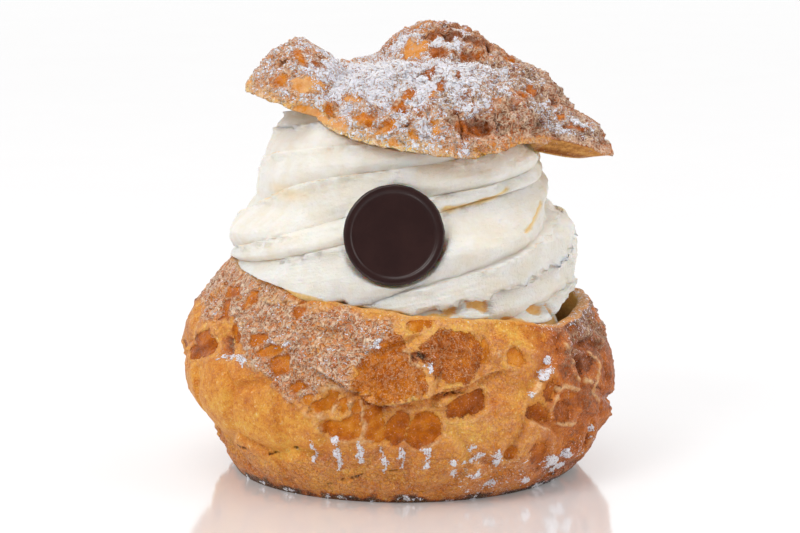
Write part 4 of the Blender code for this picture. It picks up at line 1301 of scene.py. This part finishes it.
def cream_relief(c):
    """How far the cream stands out in mm: flow lines, torn lips, hollows and filled valleys."""
    flow = at(2 * math.pi * c.share, 0.040, 0.30 * c.level)
    streaks = lumps(flow, 1.2 * MM, 2) * 0.5 + lumps(flow, 3.0 * MM, 2)
    c.out = 0.08 * streaks + 0.50 * c.broad + 0.34 * c.soft + 0.13 * lumps(c.plain, 1.2 * MM, 4)
    c.out += 1.5 * c.lip * c.tears * c.torn + 0.6 * c.right * c.tears + 0.14 * c.tears
    rough = between(c.degrees, 15, 15, 125, 15) * bell(c.rise - 0.55, 0.25)
    c.out += 0.28 * rough * lumps(c.plain, 2.2 * MM, 2)
    c.out -= 1.6 * near_degrees(c.bearing, -60, 38) * ease((c.level - 0.074) / 0.005)
    c.out -= 1.9 * near_degrees(c.bearing, 88, 34) * ease((c.level - 0.0575) / 0.002)
    filled = bell(c.to_next, 1.5) * ease((c.level - c.rim - 4 * MM) / (2 * MM))
    c.out += 1.7 * filled * np.clip(0.65 + 1.6 * c.broad + 1.0 * c.tears, 0, 1.1)


def cream_droop(c):
    """How far the lips hang down, and the tongues of the second one, which stand out a little too."""
    droop = LIP_DROOP * c.edge * ease((c.level - 0.050) / 0.004) * (1 - ease(c.rise / 0.3))
    droop = droop + c.lip * c.torn * 2.4 * MM * np.maximum(c.tears, -0.2)
    for middle, half_width, length in CREAM_TONGUES:
        tongue = np.exp(-np.abs((c.degrees - middle) / half_width) ** 3) * (c.number == HANGING_LOBE)
        tongue = tongue * ease(1 - c.over_lip / 6)
        droop = droop + length * MM * tongue
        c.out += 0.5 * tongue
    return droop


def cream_marks(c):
    """Sharp folds, torn pits and places of yellow painted shade, of which the first two go into the relief; the
    folds get yellow painted shade too.
    """
    gap = nearest_line(c.coil, CREAM_FOLDS, cream_place) - 0.2 + 0.5 * c.tears
    c.tint = np.exp(-(np.maximum(gap, 0) ** 2) / 0.10)
    c.out -= 0.45 * c.tint
    for *place, half_width, half_height in CREAM_YELLOW_SHADES:
        tint = patch(spot(c.coil, cream_place(*place), half_width, half_height) + 0.4 * c.soft, 1.6)
        c.tint = np.maximum(c.tint, 0.4 * tint)
    c.pits = np.zeros_like(c.level)
    for *place, half_width, half_height, depth in CREAM_PITS:
        pit = patch(spot(c.coil, cream_place(*place), half_width, half_height) + 1.3 * c.tears, 0.8)
        c.out -= depth * pit
        c.pits = np.maximum(c.pits, pit)


def pressed_by_disc(points):
    """Cream that the disc was pressed into: it meets the disc's back all over and stands up round it."""
    axis = np.array((0, -math.cos(DISC_LEAN), math.sin(DISC_LEAN)))
    offset = points - DISC_BACK
    depth = offset @ axis
    beside = np.linalg.norm(offset - depth[..., None] * axis, axis=-1)
    before, behind = (depth > -DISC_SUNK) * (depth < 0.02), (depth <= -DISC_SUNK) * (depth > -0.012)
    share = ease((DISC_RADIUS + 0.8 * MM - beside) / (0.8 * MM)) * before
    share = share + ease((DISC_RADIUS + 1.2 * MM - beside) / (3.0 * MM)) * behind
    return points - (share * (depth + DISC_SUNK))[..., None] * axis


def cream_crevice_shade(c, height):
    """Yellow painted shade: 1 deep in a crevice between lobes, in pits and where the cream hangs down on to the
    rim.
    """
    crevice_shade = ease(1 - c.to_next) * ease((c.edge + 0.3) / 0.6) * (0.45 + 0.6 * lumps(c.plain, 9 * MM, 2))
    hanging = near(c.bearing, HANGING_BEARING, HANGING_WIDTH)
    over_rim = ease((1.7 * MM + c.rim - height) / (1.0 * MM))
    over_rim = over_rim * np.maximum(ease(0.5 + 2 * c.soft), 0.9 * hanging)
    return np.clip(np.maximum(crevice_shade * c.open_cream, np.maximum(0.9 * c.pits, over_rim)), 0, 1)


def make_cream():
    """Piped cream: it fills the shell, and its lobes climb round it until they are under the lid."""
    shares, height = cream_columns(), cream_rows()
    c = SimpleNamespace(share=np.broadcast_to(shares, (len(height), len(shares))))
    c.bearing = swirl_turn(height) - swirl_turn(FIRST_LIP) - 2 * math.pi * c.share
    c.level = height + lobe_tilt(height) * np.sin(c.bearing)
    c.number, c.rise = lobe_at(c.share)
    c.degrees, c.rim, c.edge = in_degrees(c.bearing), rim_height(c.bearing), lip_share(c.number, c.bearing)
    lobe = np.array(LOBE_HEIGHTS)[c.number]
    c.over_lip = c.rise * lobe / MM
    c.to_next = lobe / MM - c.over_lip
    radius = cream_radius(c.bearing, c.level, c.share)
    c.plain, c.coil = at(c.bearing, radius, c.level), plain_coil(c.bearing, c.level)

    # The lips are torn, most at the foot of the swirl and at the right
    c.broad, c.soft = lumps(c.plain, 15 * MM, 2), lumps(c.plain, 6 * MM, 2)
    c.tears = lumps(c.plain * np.array((1, 1, 0.5)), 2.8 * MM, 3)
    c.lip = ease(1 - c.over_lip / 1.3)
    c.right = between(c.degrees, 55, 15, 125, 15) * ease((0.066 - c.level) / 0.008)
    low = ease((0.060 - c.level) / 0.010)
    c.torn = np.clip(0.45 + 0.55 * low + 0.5 * c.right, 0, 1) * np.clip(c.edge + 0.35 * c.right, 0, 1)
    c.open_cream = ease((c.level - c.rim + 0.001) / 0.003)
    cream_relief(c)
    droop = cream_droop(c)
    cream_marks(c)
    resting = np.minimum(c.level, c.rim - 0.3 * MM)
    level = np.maximum(c.level - droop * c.open_cream, resting)
    points = pressed_by_disc(under_lid(at(c.bearing, radius + c.out * MM * c.open_cream, level)))

    bowl = cream_bowl(shares)
    lead = np.zeros((len(bowl), len(shares)))
    fields = {"crevice_shade": np.concatenate([lead, cream_crevice_shade(c, points[..., 2])]),
              "tint": np.concatenate([lead, c.tint])}
    rings = np.concatenate([bowl, points])
    top = under_lid(np.array([[0, 0, CREAM_TOP]]))[0]
    return closed_skin("cream_swirl", (0, 0, FLOOR + CAVITY_GAP), rings, top, fields)


# The disc

def arc(radius, height, size, turns):
    """A profile's points round part of a circle, by degrees up from straight out."""
    turns = np.radians(turns)
    return [(radius + size * math.cos(turn), height + size * math.sin(turn)) for turn in turns]


def disc_profile():
    """Radius and height along the disc's section, from its back round its edge to its face."""
    rim = DISC_RADIUS - DISC_RIM_WIDTH
    face = DISC_THICKNESS - DISC_RIM_HEIGHT
    edge = DISC_RADIUS - DISC_ROUND
    profile = [(0.0040, 0), (0.0080, 0), (DISC_RADIUS - 0.0004, 0)]
    profile += arc(DISC_RADIUS - BACK_ROUND, BACK_ROUND, BACK_ROUND, (-60, -30, 0))
    profile.append((DISC_RADIUS, DISC_THICKNESS / 2))
    profile += arc(edge, DISC_THICKNESS - DISC_ROUND, DISC_ROUND, (0, 22, 45, 68, 90))
    for share in (0.35, 0.7, 1.0):
        profile.append((edge - share * (DISC_RIM_WIDTH - 0.0008), DISC_THICKNESS - RIM_FALL * share))
    for share in (0.25, 0.5, 0.75, 1.0):
        height = DISC_THICKNESS - RIM_FALL - (DISC_RIM_HEIGHT - RIM_FALL) * ease(share)
        profile.append((rim - 0.0007 * share, height))
    return profile + [(rim - 0.0014, face), (0.0060, face), (0.0030, face)]


def make_disc():
    """A cast disc with a rounded edge and a raised rim round its face, leaning back against the cream."""
    bearing = around_circle(DISC_COLUMNS)
    rings = []
    for radius, height in disc_profile():
        uneven = 0.00009 * lumps(at(bearing, 0.011, 0), 2.0 * MM, 2) * ease((radius - 0.009) / 0.002)
        rings.append(at(bearing, radius + uneven, height))
    face = DISC_THICKNESS - DISC_RIM_HEIGHT
    made = closed_skin("cast_disc", (0, 0, 0), np.array(rings), (0, 0, face), {})
    axis = Vector((0, -math.cos(DISC_LEAN), math.sin(DISC_LEAN)))
    turn = axis.to_track_quat("Z", "Y").to_matrix().to_4x4()
    made.data.transform(Matrix.Translation(Vector(DISC_BACK)) @ turn)
    return made


# Sugar grains

def read_points(layer, field, width=1):
    """A mesh layer's values as an array."""
    values = np.zeros(len(layer) * width, np.float32 if width == 1 else float)
    layer.foreach_get(field, values)
    return values if width == 1 else values.reshape(-1, width)


def scatter_sugar(name, source, count, low, high):
    """Small lumps of sugar where a crust's sugar value is high, all in one mesh."""
    points = read_points(source.data.vertices, "co", 3)
    normals = read_points(source.data.vertices, "normal", 3)
    sugar = read_points(source.data.attributes["sugar"].data, "value")
    chance = np.clip(sugar - GRAINS_ABOVE, 0, 1) ** 1.5
    chosen = rng.choice(len(points), count, p=chance / chance.sum(), replace=False)
    corners = np.array([(1, 0, 0), (-1, 0, 0), (0, 1, 0), (0, -1, 0), (0, 0, 1), (0, 0, -1)])
    sides = np.array([(0, 2, 4), (2, 1, 4), (1, 3, 4), (3, 0, 4),
                      (2, 0, 5), (1, 2, 5), (3, 1, 5), (0, 3, 5)])
    size = rng.uniform(low, high, (count, 1, 1))
    shape = corners * size * rng.uniform(0.6, 1.25, (count, 6, 1))
    grains = points[chosen][:, None] + shape + normals[chosen][:, None] * size * 0.3
    faces = (sides + 6 * np.arange(count)[:, None, None]).reshape(-1, 3)
    made = add_mesh(name, grains.reshape(-1, 3), faces.tolist())
    made.data.shade_smooth()
    return made


# Materials

# Display colours from raw to burnt, by degree of baking
CRUST_TONES = (
    (0.00, (246, 226, 160)), (0.20, (240, 190, 86)), (0.36, (230, 158, 66)), (0.50, (210, 124, 38)),
    (0.62, (188, 96, 24)), (0.74, (150, 72, 24)), (0.86, (100, 50, 22)), (1.00, (50, 28, 18)),
)
# The same for bare, glossy skin, which is more saturated
BARE_TONES = (
    (0.20, (242, 200, 110)), (0.40, (224, 162, 102)), (0.50, (214, 136, 40)), (0.60, (196, 108, 8)),
    (0.70, (166, 82, 4)), (0.82, (120, 56, 8)), (1.00, (52, 28, 16)),
)
CRUMB_TONES = (
    (0.00, (252, 218, 146)), (0.30, (234, 190, 112)), (0.50, (206, 146, 78)), (0.75, (150, 90, 44)),
)


def srgb(red, green, blue):
    """A colour as a linear value from 0 to 255 display values."""
    return tuple((((c / 255) + 0.055) / 1.055) ** 2.4 for c in (red, green, blue)) + (1.0,)


class Nodes:
    """Short names for the nodes of one tree."""

    def __init__(self, tree):
        self.tree = tree

    def feed(self, socket, value):
        if isinstance(value, bpy.types.NodeSocket):
            self.tree.links.new(value, socket)
        else:
            socket.default_value = value

    def node(self, kind, inputs, output=0, **settings):
        made = self.tree.nodes.new(kind)
        for key, value in settings.items():
            setattr(made, key, value)
        for key, value in inputs.items():
            self.feed(made.inputs[key], value)
        return made.outputs[output]

    def math(self, operation, first, second=0.0, third=0.0):
        return self.node("ShaderNodeMath", {0: first, 1: second, 2: third}, operation=operation)

    def add(self, first, *others):
        for other in others:
            first = self.math("ADD", first, other)
        return first

    def less(self, first, second):
        return self.math("SUBTRACT", first, second)

    def times(self, first, second):
        return self.math("MULTIPLY", first, second)

    def scaled(self, value, scale, offset):
        return self.math("MULTIPLY_ADD", value, scale, offset)

    def step(self, value, low, high, to_low=0.0, to_high=1.0):
        inputs = {"Value": value, "From Min": low, "From Max": high, "To Min": to_low, "To Max": to_high}
        return self.node("ShaderNodeMapRange", inputs, interpolation_type="SMOOTHSTEP")


class Shader(Nodes):
    """Short names for the nodes of one material, whose patterns are in the object's own frame."""

    def __init__(self, name):
        self.material = bpy.data.materials.new(name)
        self.material.use_nodes = True
        super().__init__(self.material.node_tree)
        self.places = self.node("ShaderNodeTexCoord", {}, "Object")

    def value(self, name):
        return self.node("ShaderNodeAttribute", {}, "Fac", attribute_name=name)

    def noise(self, size_mm, detail=3.0, roughness=0.6, stretch=(1, 1, 1)):
        places = self.places
        if stretch != (1, 1, 1):
            places = self.node("ShaderNodeVectorMath", {0: places, 1: stretch}, operation="MULTIPLY")
        inputs = {"Vector": places, "Scale": 1 / (size_mm * MM), "Detail": detail, "Roughness": roughness}
        return self.node("ShaderNodeTexNoise", inputs)

    def worms(self, size_mm, width):
        """Fine winding lines: 1 on a line and 0 off it."""
        away = self.math("ABSOLUTE", self.less(self.noise(size_mm, 1.5, 0.5), 0.5))
        return self.step(away, 0.0, width, 1.0, 0.0)

    def mix(self, share, first, second):
        made = self.tree.nodes.new("ShaderNodeMix")
        made.data_type = "RGBA"
        for socket, value in zip((0, 6, 7), (share, first, second)):
            self.feed(made.inputs[socket], value)
        return made.outputs[2]

    def ramp(self, value, stops):
        made = self.tree.nodes.new("ShaderNodeValToRGB")
        elements = made.color_ramp.elements
        while len(elements) < len(stops):
            elements.new(0.5)
        for element, (position, colour) in zip(elements, stops):
            element.position = position
            element.color = srgb(*colour)
        self.feed(made.inputs[0], value)
        return made.outputs[0]

    def bump(self, height, distance_mm, strength):
        inputs = {"Height": height, "Distance": distance_mm * MM, "Strength": strength}
        return self.node("ShaderNodeBump", inputs)

    def finish(self, **inputs):
        """The material, with its surface's sockets set or fed by name."""
        for key, value in inputs.items():
            self.feed(self.tree.nodes["Principled BSDF"].inputs[key.replace("_", " ")], value)
        return self.material


def crust_material(name):
    """Baked choux: a colour for each degree of baking, bare panels, seams, cracks, crumb and sugar."""
    s = Shader(name)
    bake, skin, bloom, craze = [s.value(field) for field in ("bake", "skin", "bloom", "craze")]
    mid, fine, speck = s.noise(2.4), s.noise(1.0), s.noise(0.42, 2.0)
    off_fine, off_speck = s.less(fine, 0.5), s.less(speck, 0.5)
    jag = s.add(s.times(off_fine, 1.3), s.times(off_speck, 0.6))

    # Matt crust with dust, and panels with crisp edges
    bare = s.step(s.add(s.value("panel"), jag), -0.15, 0.20)
    wandering = s.scaled(mid, 0.34, -0.17)
    rough_tone = s.add(s.times(off_fine, 0.56), s.times(off_speck, 0.60))
    rough_tone = s.times(rough_tone, s.scaled(craze, 0.9, 0.55))
    colour = s.ramp(s.add(bake, wandering, rough_tone), CRUST_TONES)
    dust = s.times(bloom, s.step(s.add(fine, s.times(speck, 0.4)), 0.52, 0.86))
    colour = s.mix(s.times(dust, 0.55), colour, srgb(230, 184, 150))
    bare_tone = s.add(skin, wandering, s.times(rough_tone, 0.5))
    colour = s.mix(bare, colour, s.ramp(bare_tone, BARE_TONES))

    # Fine winding lines of dried skin with darker ones between, and painted glints of highlight
    dark = s.times(s.worms(1.7, 0.040), craze)
    colour = s.mix(s.times(dark, 0.55), colour, srgb(142, 66, 28))
    lines = s.math("MAXIMUM", s.worms(1.4, 0.066), s.times(s.worms(3.4, 0.036), 0.8))
    lines = s.times(lines, s.times(craze, s.step(mid, 0.30, 0.56, 0.45, 1.0)))
    tan = s.mix(bloom, srgb(234, 182, 112), srgb(255, 230, 204))
    colour = s.mix(s.times(lines, s.scaled(bloom, 0.65, 0.35)), colour, tan)
    # Painted highlights: small bright glints
    painted_glints = s.times(s.step(s.noise(0.30, 1.0), 0.57, 0.65), s.step(fine, 0.42, 0.60))
    colour = s.mix(s.times(painted_glints, s.scaled(craze, 0.60, 0.10)), colour, srgb(255, 232, 200))

    # Seams, crumb and cracks
    seam = s.step(s.add(s.value("seam"), s.times(jag, 0.8)), 0.15, 0.85, 1.0, 0.0)
    seam_colour = s.mix(s.step(fine, 0.35, 0.65), srgb(212, 148, 86), srgb(242, 206, 160))
    colour = s.mix(s.times(seam, 0.88), colour, seam_colour)
    crumb_tone = s.add(bake, s.scaled(s.noise(1.4, stretch=(1, 1, 2.6)), 0.7, -0.35))
    colour = s.mix(s.value("crumb"), colour, s.ramp(crumb_tone, CRUMB_TONES))
    line = s.step(s.add(s.value("crack"), s.times(off_fine, 1.4)), 0.05, 0.55, 1.0, 0.0)
    colour = s.mix(s.times(line, 0.85), colour, srgb(84, 40, 18))

    # Sugar, thinner along the dark lines
    grains = s.add(s.times(fine, 0.35), s.times(speck, 0.45), s.times(mid, 0.20))
    white = s.step(s.less(s.value("sugar"), s.step(grains, 0.37, 0.63)), -0.08, 0.14)
    white = s.times(white, s.scaled(s.worms(1.7, 0.040), -0.8, 1.0))
    colour = s.mix(s.times(white, 0.96), colour, srgb(242, 244, 255))

    gloss = s.times(bare, s.less(1.0, craze))
    rough = s.add(s.scaled(gloss, -0.20, 0.44), s.times(off_fine, 0.30))
    rough = s.math("MAXIMUM", rough, s.times(white, 0.85))
    relief = s.add(fine, s.times(speck, 0.5), s.times(s.less(lines, dark), 0.6))
    relief = s.less(s.times(relief, s.scaled(gloss, -0.65, 1.0)), s.times(bare, 0.20))
    relief = s.less(s.add(relief, s.times(s.add(white, seam), 0.35)), line)
    return s.finish(Base_Color=colour, Roughness=rough, Normal=s.bump(relief, 0.6, 0.9),
                    Specular_IOR_Level=0.12, Subsurface_Weight=0.05,
                    Subsurface_Radius=(0.0030, 0.0014, 0.0007), Subsurface_Scale=1.0)


def cream_material():
    """Whipped cream: soft off-white that glows a little, with yellow painted shade in its folds, grooves and
    crevices.
    """
    s = Shader("whipped_cream_detail")
    fine = s.noise(1.1, 4.0)
    colour = s.mix(s.step(s.noise(6.0), 0.35, 0.7), srgb(243, 240, 234), srgb(237, 230, 216))
    # Yellow painted shade along the folds and in the grooves
    colour = s.mix(s.times(s.value("tint"), 0.80), colour, srgb(255, 212, 120))
    # Deeper yellow painted shade in the crevices, the pits and the gap over the rim
    yellow = s.step(s.add(s.value("crevice_shade"), s.scaled(fine, 0.8, -0.40)), 0.35, 0.95)
    colour = s.mix(s.times(yellow, 0.90), colour, srgb(240, 180, 74))
    relief = s.add(s.times(fine, 0.8), s.times(s.noise(0.5), 0.5))
    rough = s.scaled(fine, 0.2, 0.45)
    return s.finish(Base_Color=colour, Roughness=rough, Normal=s.bump(relief, 0.45, 1.0),
                    Subsurface_Weight=0.62, Subsurface_Radius=(0.0044, 0.0031, 0.0020),
                    Subsurface_Scale=1.0)


def chocolate_material():
    """Cast dark chocolate: satin, with faint bloom and fine marks of the mould."""
    s = Shader("dark_chocolate_detail")
    mid, fine = s.noise(5.0), s.noise(0.5)
    colour = s.mix(s.step(mid, 0.3, 0.75), srgb(40, 18, 17), srgb(48, 25, 23))
    relief = s.add(s.times(fine, 0.25), s.times(mid, 0.6))
    rough = s.scaled(fine, 0.14, 0.24)
    return s.finish(Base_Color=colour, Roughness=rough, Normal=s.bump(relief, 0.10, 0.5),
                    Specular_IOR_Level=0.35)


def sugar_material():
    """Icing sugar: white, matt and a little translucent."""
    s = Shader("icing_sugar")
    fine = s.noise(0.3)
    colour = s.mix(fine, srgb(242, 240, 246), srgb(254, 252, 250))
    return s.finish(Base_Color=colour, Roughness=0.75, Normal=s.bump(fine, 0.06, 0.6),
                    Subsurface_Weight=0.2, Subsurface_Radius=(0.0005, 0.0005, 0.0005))


def floor_material():
    """White acrylic, lit from beneath a little, with a soft reflection."""
    s = Shader("white_table")
    colour = s.mix(s.noise(60.0), srgb(236, 234, 235), srgb(240, 239, 240))
    return s.finish(Base_Color=colour, Roughness=0.10, Metallic=0.30, Emission_Color=WHITE,
                    Emission_Strength=0.10)


# The studio

CAMERA_TARGET = Vector((0, 0, 0.046))
CAMERA_DISTANCE = 0.700
CAMERA_LENS = 137
CAMERA_SENSOR = 36
CAMERA_ELEVATION = math.radians(10)
LIGHT_TARGET = Vector((0, 0, 0.05))
TABLE_RADIUS = 3.0
TABLE_CORNERS = 96
# From behind the camera to behind the object: where the light starts and stops growing, and its strengths
WORLD_FADE = (-0.8, 0.5, 0.25, 1.0)
# The lights: name, place, size, power and colour
LIGHTS = (
    ("key", (-0.50, -0.62, 0.70), (0.4, 0.4), 4.3, (1.0, 0.985, 0.96)),
    ("top", (-0.12, -0.30, 0.90), (0.5, 0.5), 1.8, (1.0, 0.99, 0.98)),
    ("fill", (0.75, -0.30, 0.40), (0.4, 0.7), 2.1, (1.0, 0.98, 0.96)),
)


def make_camera():
    data = bpy.data.cameras.new("camera")
    data.lens = CAMERA_LENS
    data.sensor_width = CAMERA_SENSOR
    camera = add_object("camera", data)
    back = Vector((0, -math.cos(CAMERA_ELEVATION), math.sin(CAMERA_ELEVATION)))
    camera.location = CAMERA_TARGET + back * CAMERA_DISTANCE
    camera.rotation_euler = back.to_track_quat("Z", "Y").to_euler()
    bpy.context.scene.camera = camera


def make_light(name, place, size, power, colour):
    data = bpy.data.lights.new(name, "AREA")
    data.shape = "RECTANGLE"
    data.size, data.size_y = size
    data.energy = power
    data.color = colour
    light = add_object(name, data)
    light.location = place
    light.rotation_euler = (LIGHT_TARGET - Vector(place)).to_track_quat("-Z", "Y").to_euler()


def make_world():
    """A white studio: dimmer behind the camera, and dimmer as soft light than it is to look at."""
    world = bpy.data.worlds.new("studio")
    world.use_nodes = True
    n = Nodes(world.node_tree)
    way = n.node("ShaderNodeTexCoord", {}, "Generated")
    strength = n.step(n.node("ShaderNodeSeparateXYZ", {0: way}, "Y"), *WORLD_FADE)
    sky = n.node("ShaderNodeBackground", {"Color": WHITE, "Strength": strength})
    backdrop = n.node("ShaderNodeBackground", {"Color": WHITE})
    seen = n.node("ShaderNodeLightPath", {}, "Is Camera Ray")
    both = n.node("ShaderNodeMixShader", {0: seen, 1: sky, 2: backdrop})
    n.feed(n.tree.nodes["World Output"].inputs["Surface"], both)
    bpy.context.scene.world = world
    bpy.context.scene.view_settings.view_transform = "Standard"


def make_floor():
    floor = add_mesh("table", at(around_circle(TABLE_CORNERS), TABLE_RADIUS, 0.0), [list(range(TABLE_CORNERS))])
    floor.data.materials.append(floor_material())


def dress(piece, material, node=None):
    """Give a piece its material and its body, and hide the solid that it stands for."""
    piece.data.materials.append(material)
    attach(piece, "root")
    if node:
        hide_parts(node)


make_camera()
make_world()
make_floor()
for light in LIGHTS:
    make_light(*light)

base = make_base()
lid = make_lid()
dress(base, crust_material("baked_choux_detail"), "choux_shell")
dress(lid, crust_material("baked_choux_lid_detail"), "choux_lid")
dress(make_cream(), cream_material(), "chantilly")
dress(make_disc(), chocolate_material(), "chocolate_disc")
icing = sugar_material()
dress(scatter_sugar("lid_sugar", lid, *LID_GRAINS), icing)
dress(scatter_sugar("base_sugar", base, *BASE_GRAINS), icing)
